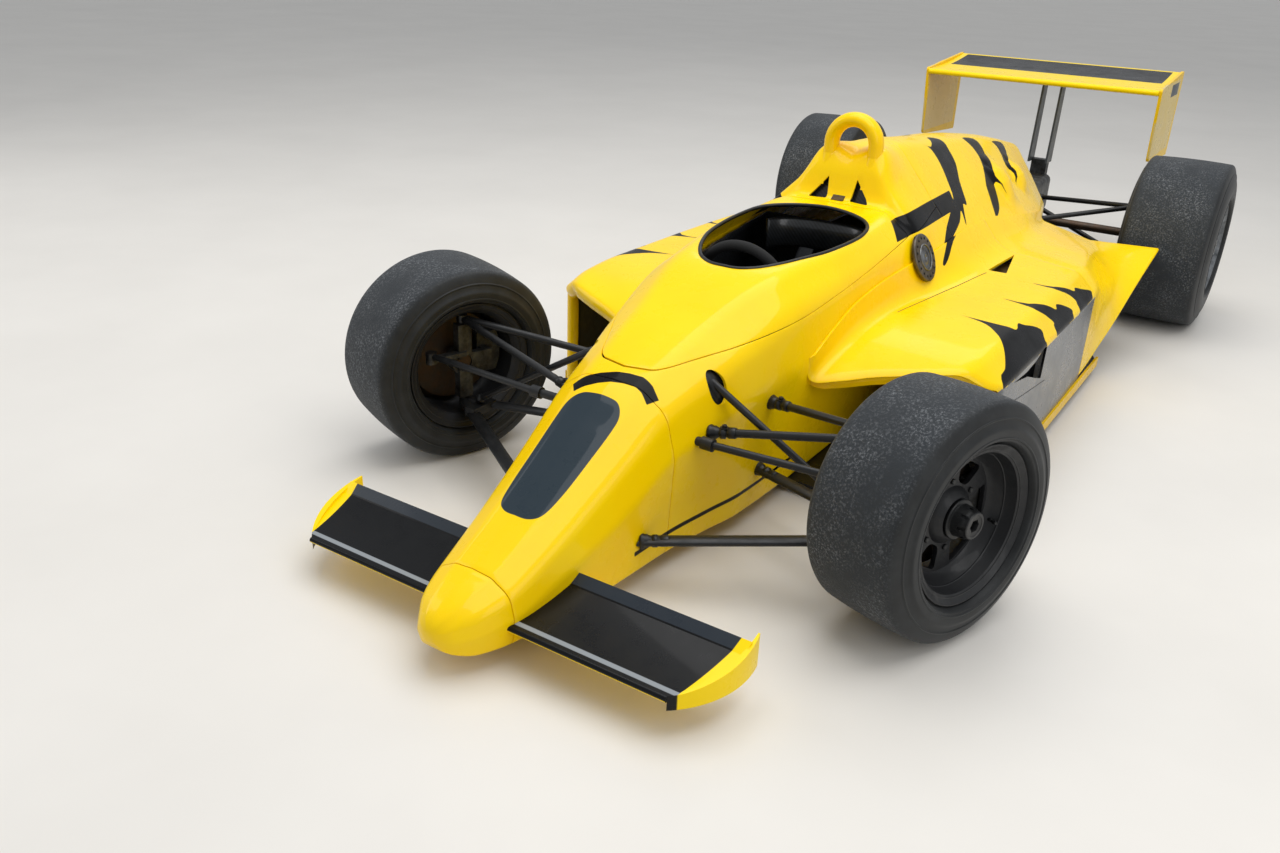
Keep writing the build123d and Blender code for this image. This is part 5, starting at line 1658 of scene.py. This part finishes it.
stage = {
    "floorSize": 240,
    "floorColour": "#E4E0D9",
    "floorCloud": "#DEDAD3",
    "ambient": ("#EDF0F4", 0.55),
    # name, energy in watts, size across and along in metres, place, aim
    "lamps": [
        ("ceilingSoftbox", 245, 5.0, 6.0, (0.4, -0.4, 5.2), (0, -0.2, 0.3)),
        ("rearWindow", 60, 7.0, 2.4, (-2.5, 8.0, 6.5), (0, 0, 0.4)),
        ("leftSoftbox", 60, 2.6, 4.0, (5.6, -2.4, 3.2), (0, -0.6, 0.3)),
        ("rightSoftbox", 60, 2.6, 4.0, (-5.4, -2.6, 3.0), (0, -0.6, 0.3)),
    ],
}

view = {
    # fitted to the wheels' outlines and mirror pairs of the body in the photograph
    "place": (1.298, -3.4905, 1.387),
    "azimuth": 32.729,
    "elevation": 24.588,
    "roll": 2.166,
    "lensMm": 30.43,
    "sensorMm": 36.0,
    "clip": (0.05, 400),
}


def buildStage():
    # poured resin floor, levelled and satin: almost even, with faint clouds and a soft reflection
    made = newMaterial("pouredResin", {"Roughness": 0.42, "IOR": 1.45})
    cloud = addNode(made["tree"], "ShaderNodeMix", {"data_type": "RGBA", 0: patches(made, 900, (0.3, 0.7)),
                                                    6: stage["floorColour"], 7: stage["floorCloud"]})
    made["tree"].links.new(cloud.outputs[2], made["surface"].inputs["Base Color"])
    bm = bmesh.new()
    bmesh.ops.create_grid(bm, x_segments=2, y_segments=2, size=stage["floorSize"] / 2)
    floor = linkObject("studioFloor", meshFrom("studioFloor", bm))
    floor.data.materials.append(made["material"])
    floor.location.z = cadLow.z
    world = bpy.data.worlds.new("studioAir")
    bpy.context.scene.world = world
    world.use_nodes = True
    background = world.node_tree.nodes["Background"]
    background.inputs["Color"].default_value = hexColour(stage["ambient"][0])
    background.inputs["Strength"].default_value = stage["ambient"][1]
    for name, energy, across, deep, spot, target in stage["lamps"]:
        lamp = bpy.data.lights.new(name, "AREA")
        lamp.energy = energy
        lamp.shape = "RECTANGLE"
        lamp.size = across
        lamp.size_y = deep
        obj = linkObject(name, lamp)
        obj.location = spot
        obj.rotation_euler = (Vector(target) - Vector(spot)).to_track_quat("-Z", "Y").to_euler()


def buildCamera():
    a, e, r = (math.radians(view[key]) for key in ("azimuth", "elevation", "roll"))
    back = Vector((math.sin(a) * math.cos(e), -math.cos(a) * math.cos(e), math.sin(e)))
    level = Vector((math.cos(a), math.sin(a), 0))
    upright = back.cross(level)
    right = level * math.cos(r) + upright * math.sin(r)
    up = upright * math.cos(r) - level * math.sin(r)
    camera = linkObject("photoCamera", bpy.data.cameras.new("photoCamera"))
    camera.data.sensor_width = view["sensorMm"]
    camera.data.lens = view["lensMm"]
    camera.data.clip_start, camera.data.clip_end = view["clip"]
    camera.matrix_world = Matrix.Translation(view["place"]) @ Matrix((right, up, back)).transposed().to_4x4()
    bpy.context.scene.camera = camera
    bpy.context.scene.view_settings.view_transform = "Standard"


buildStage()
buildCamera()
print("scene ready")
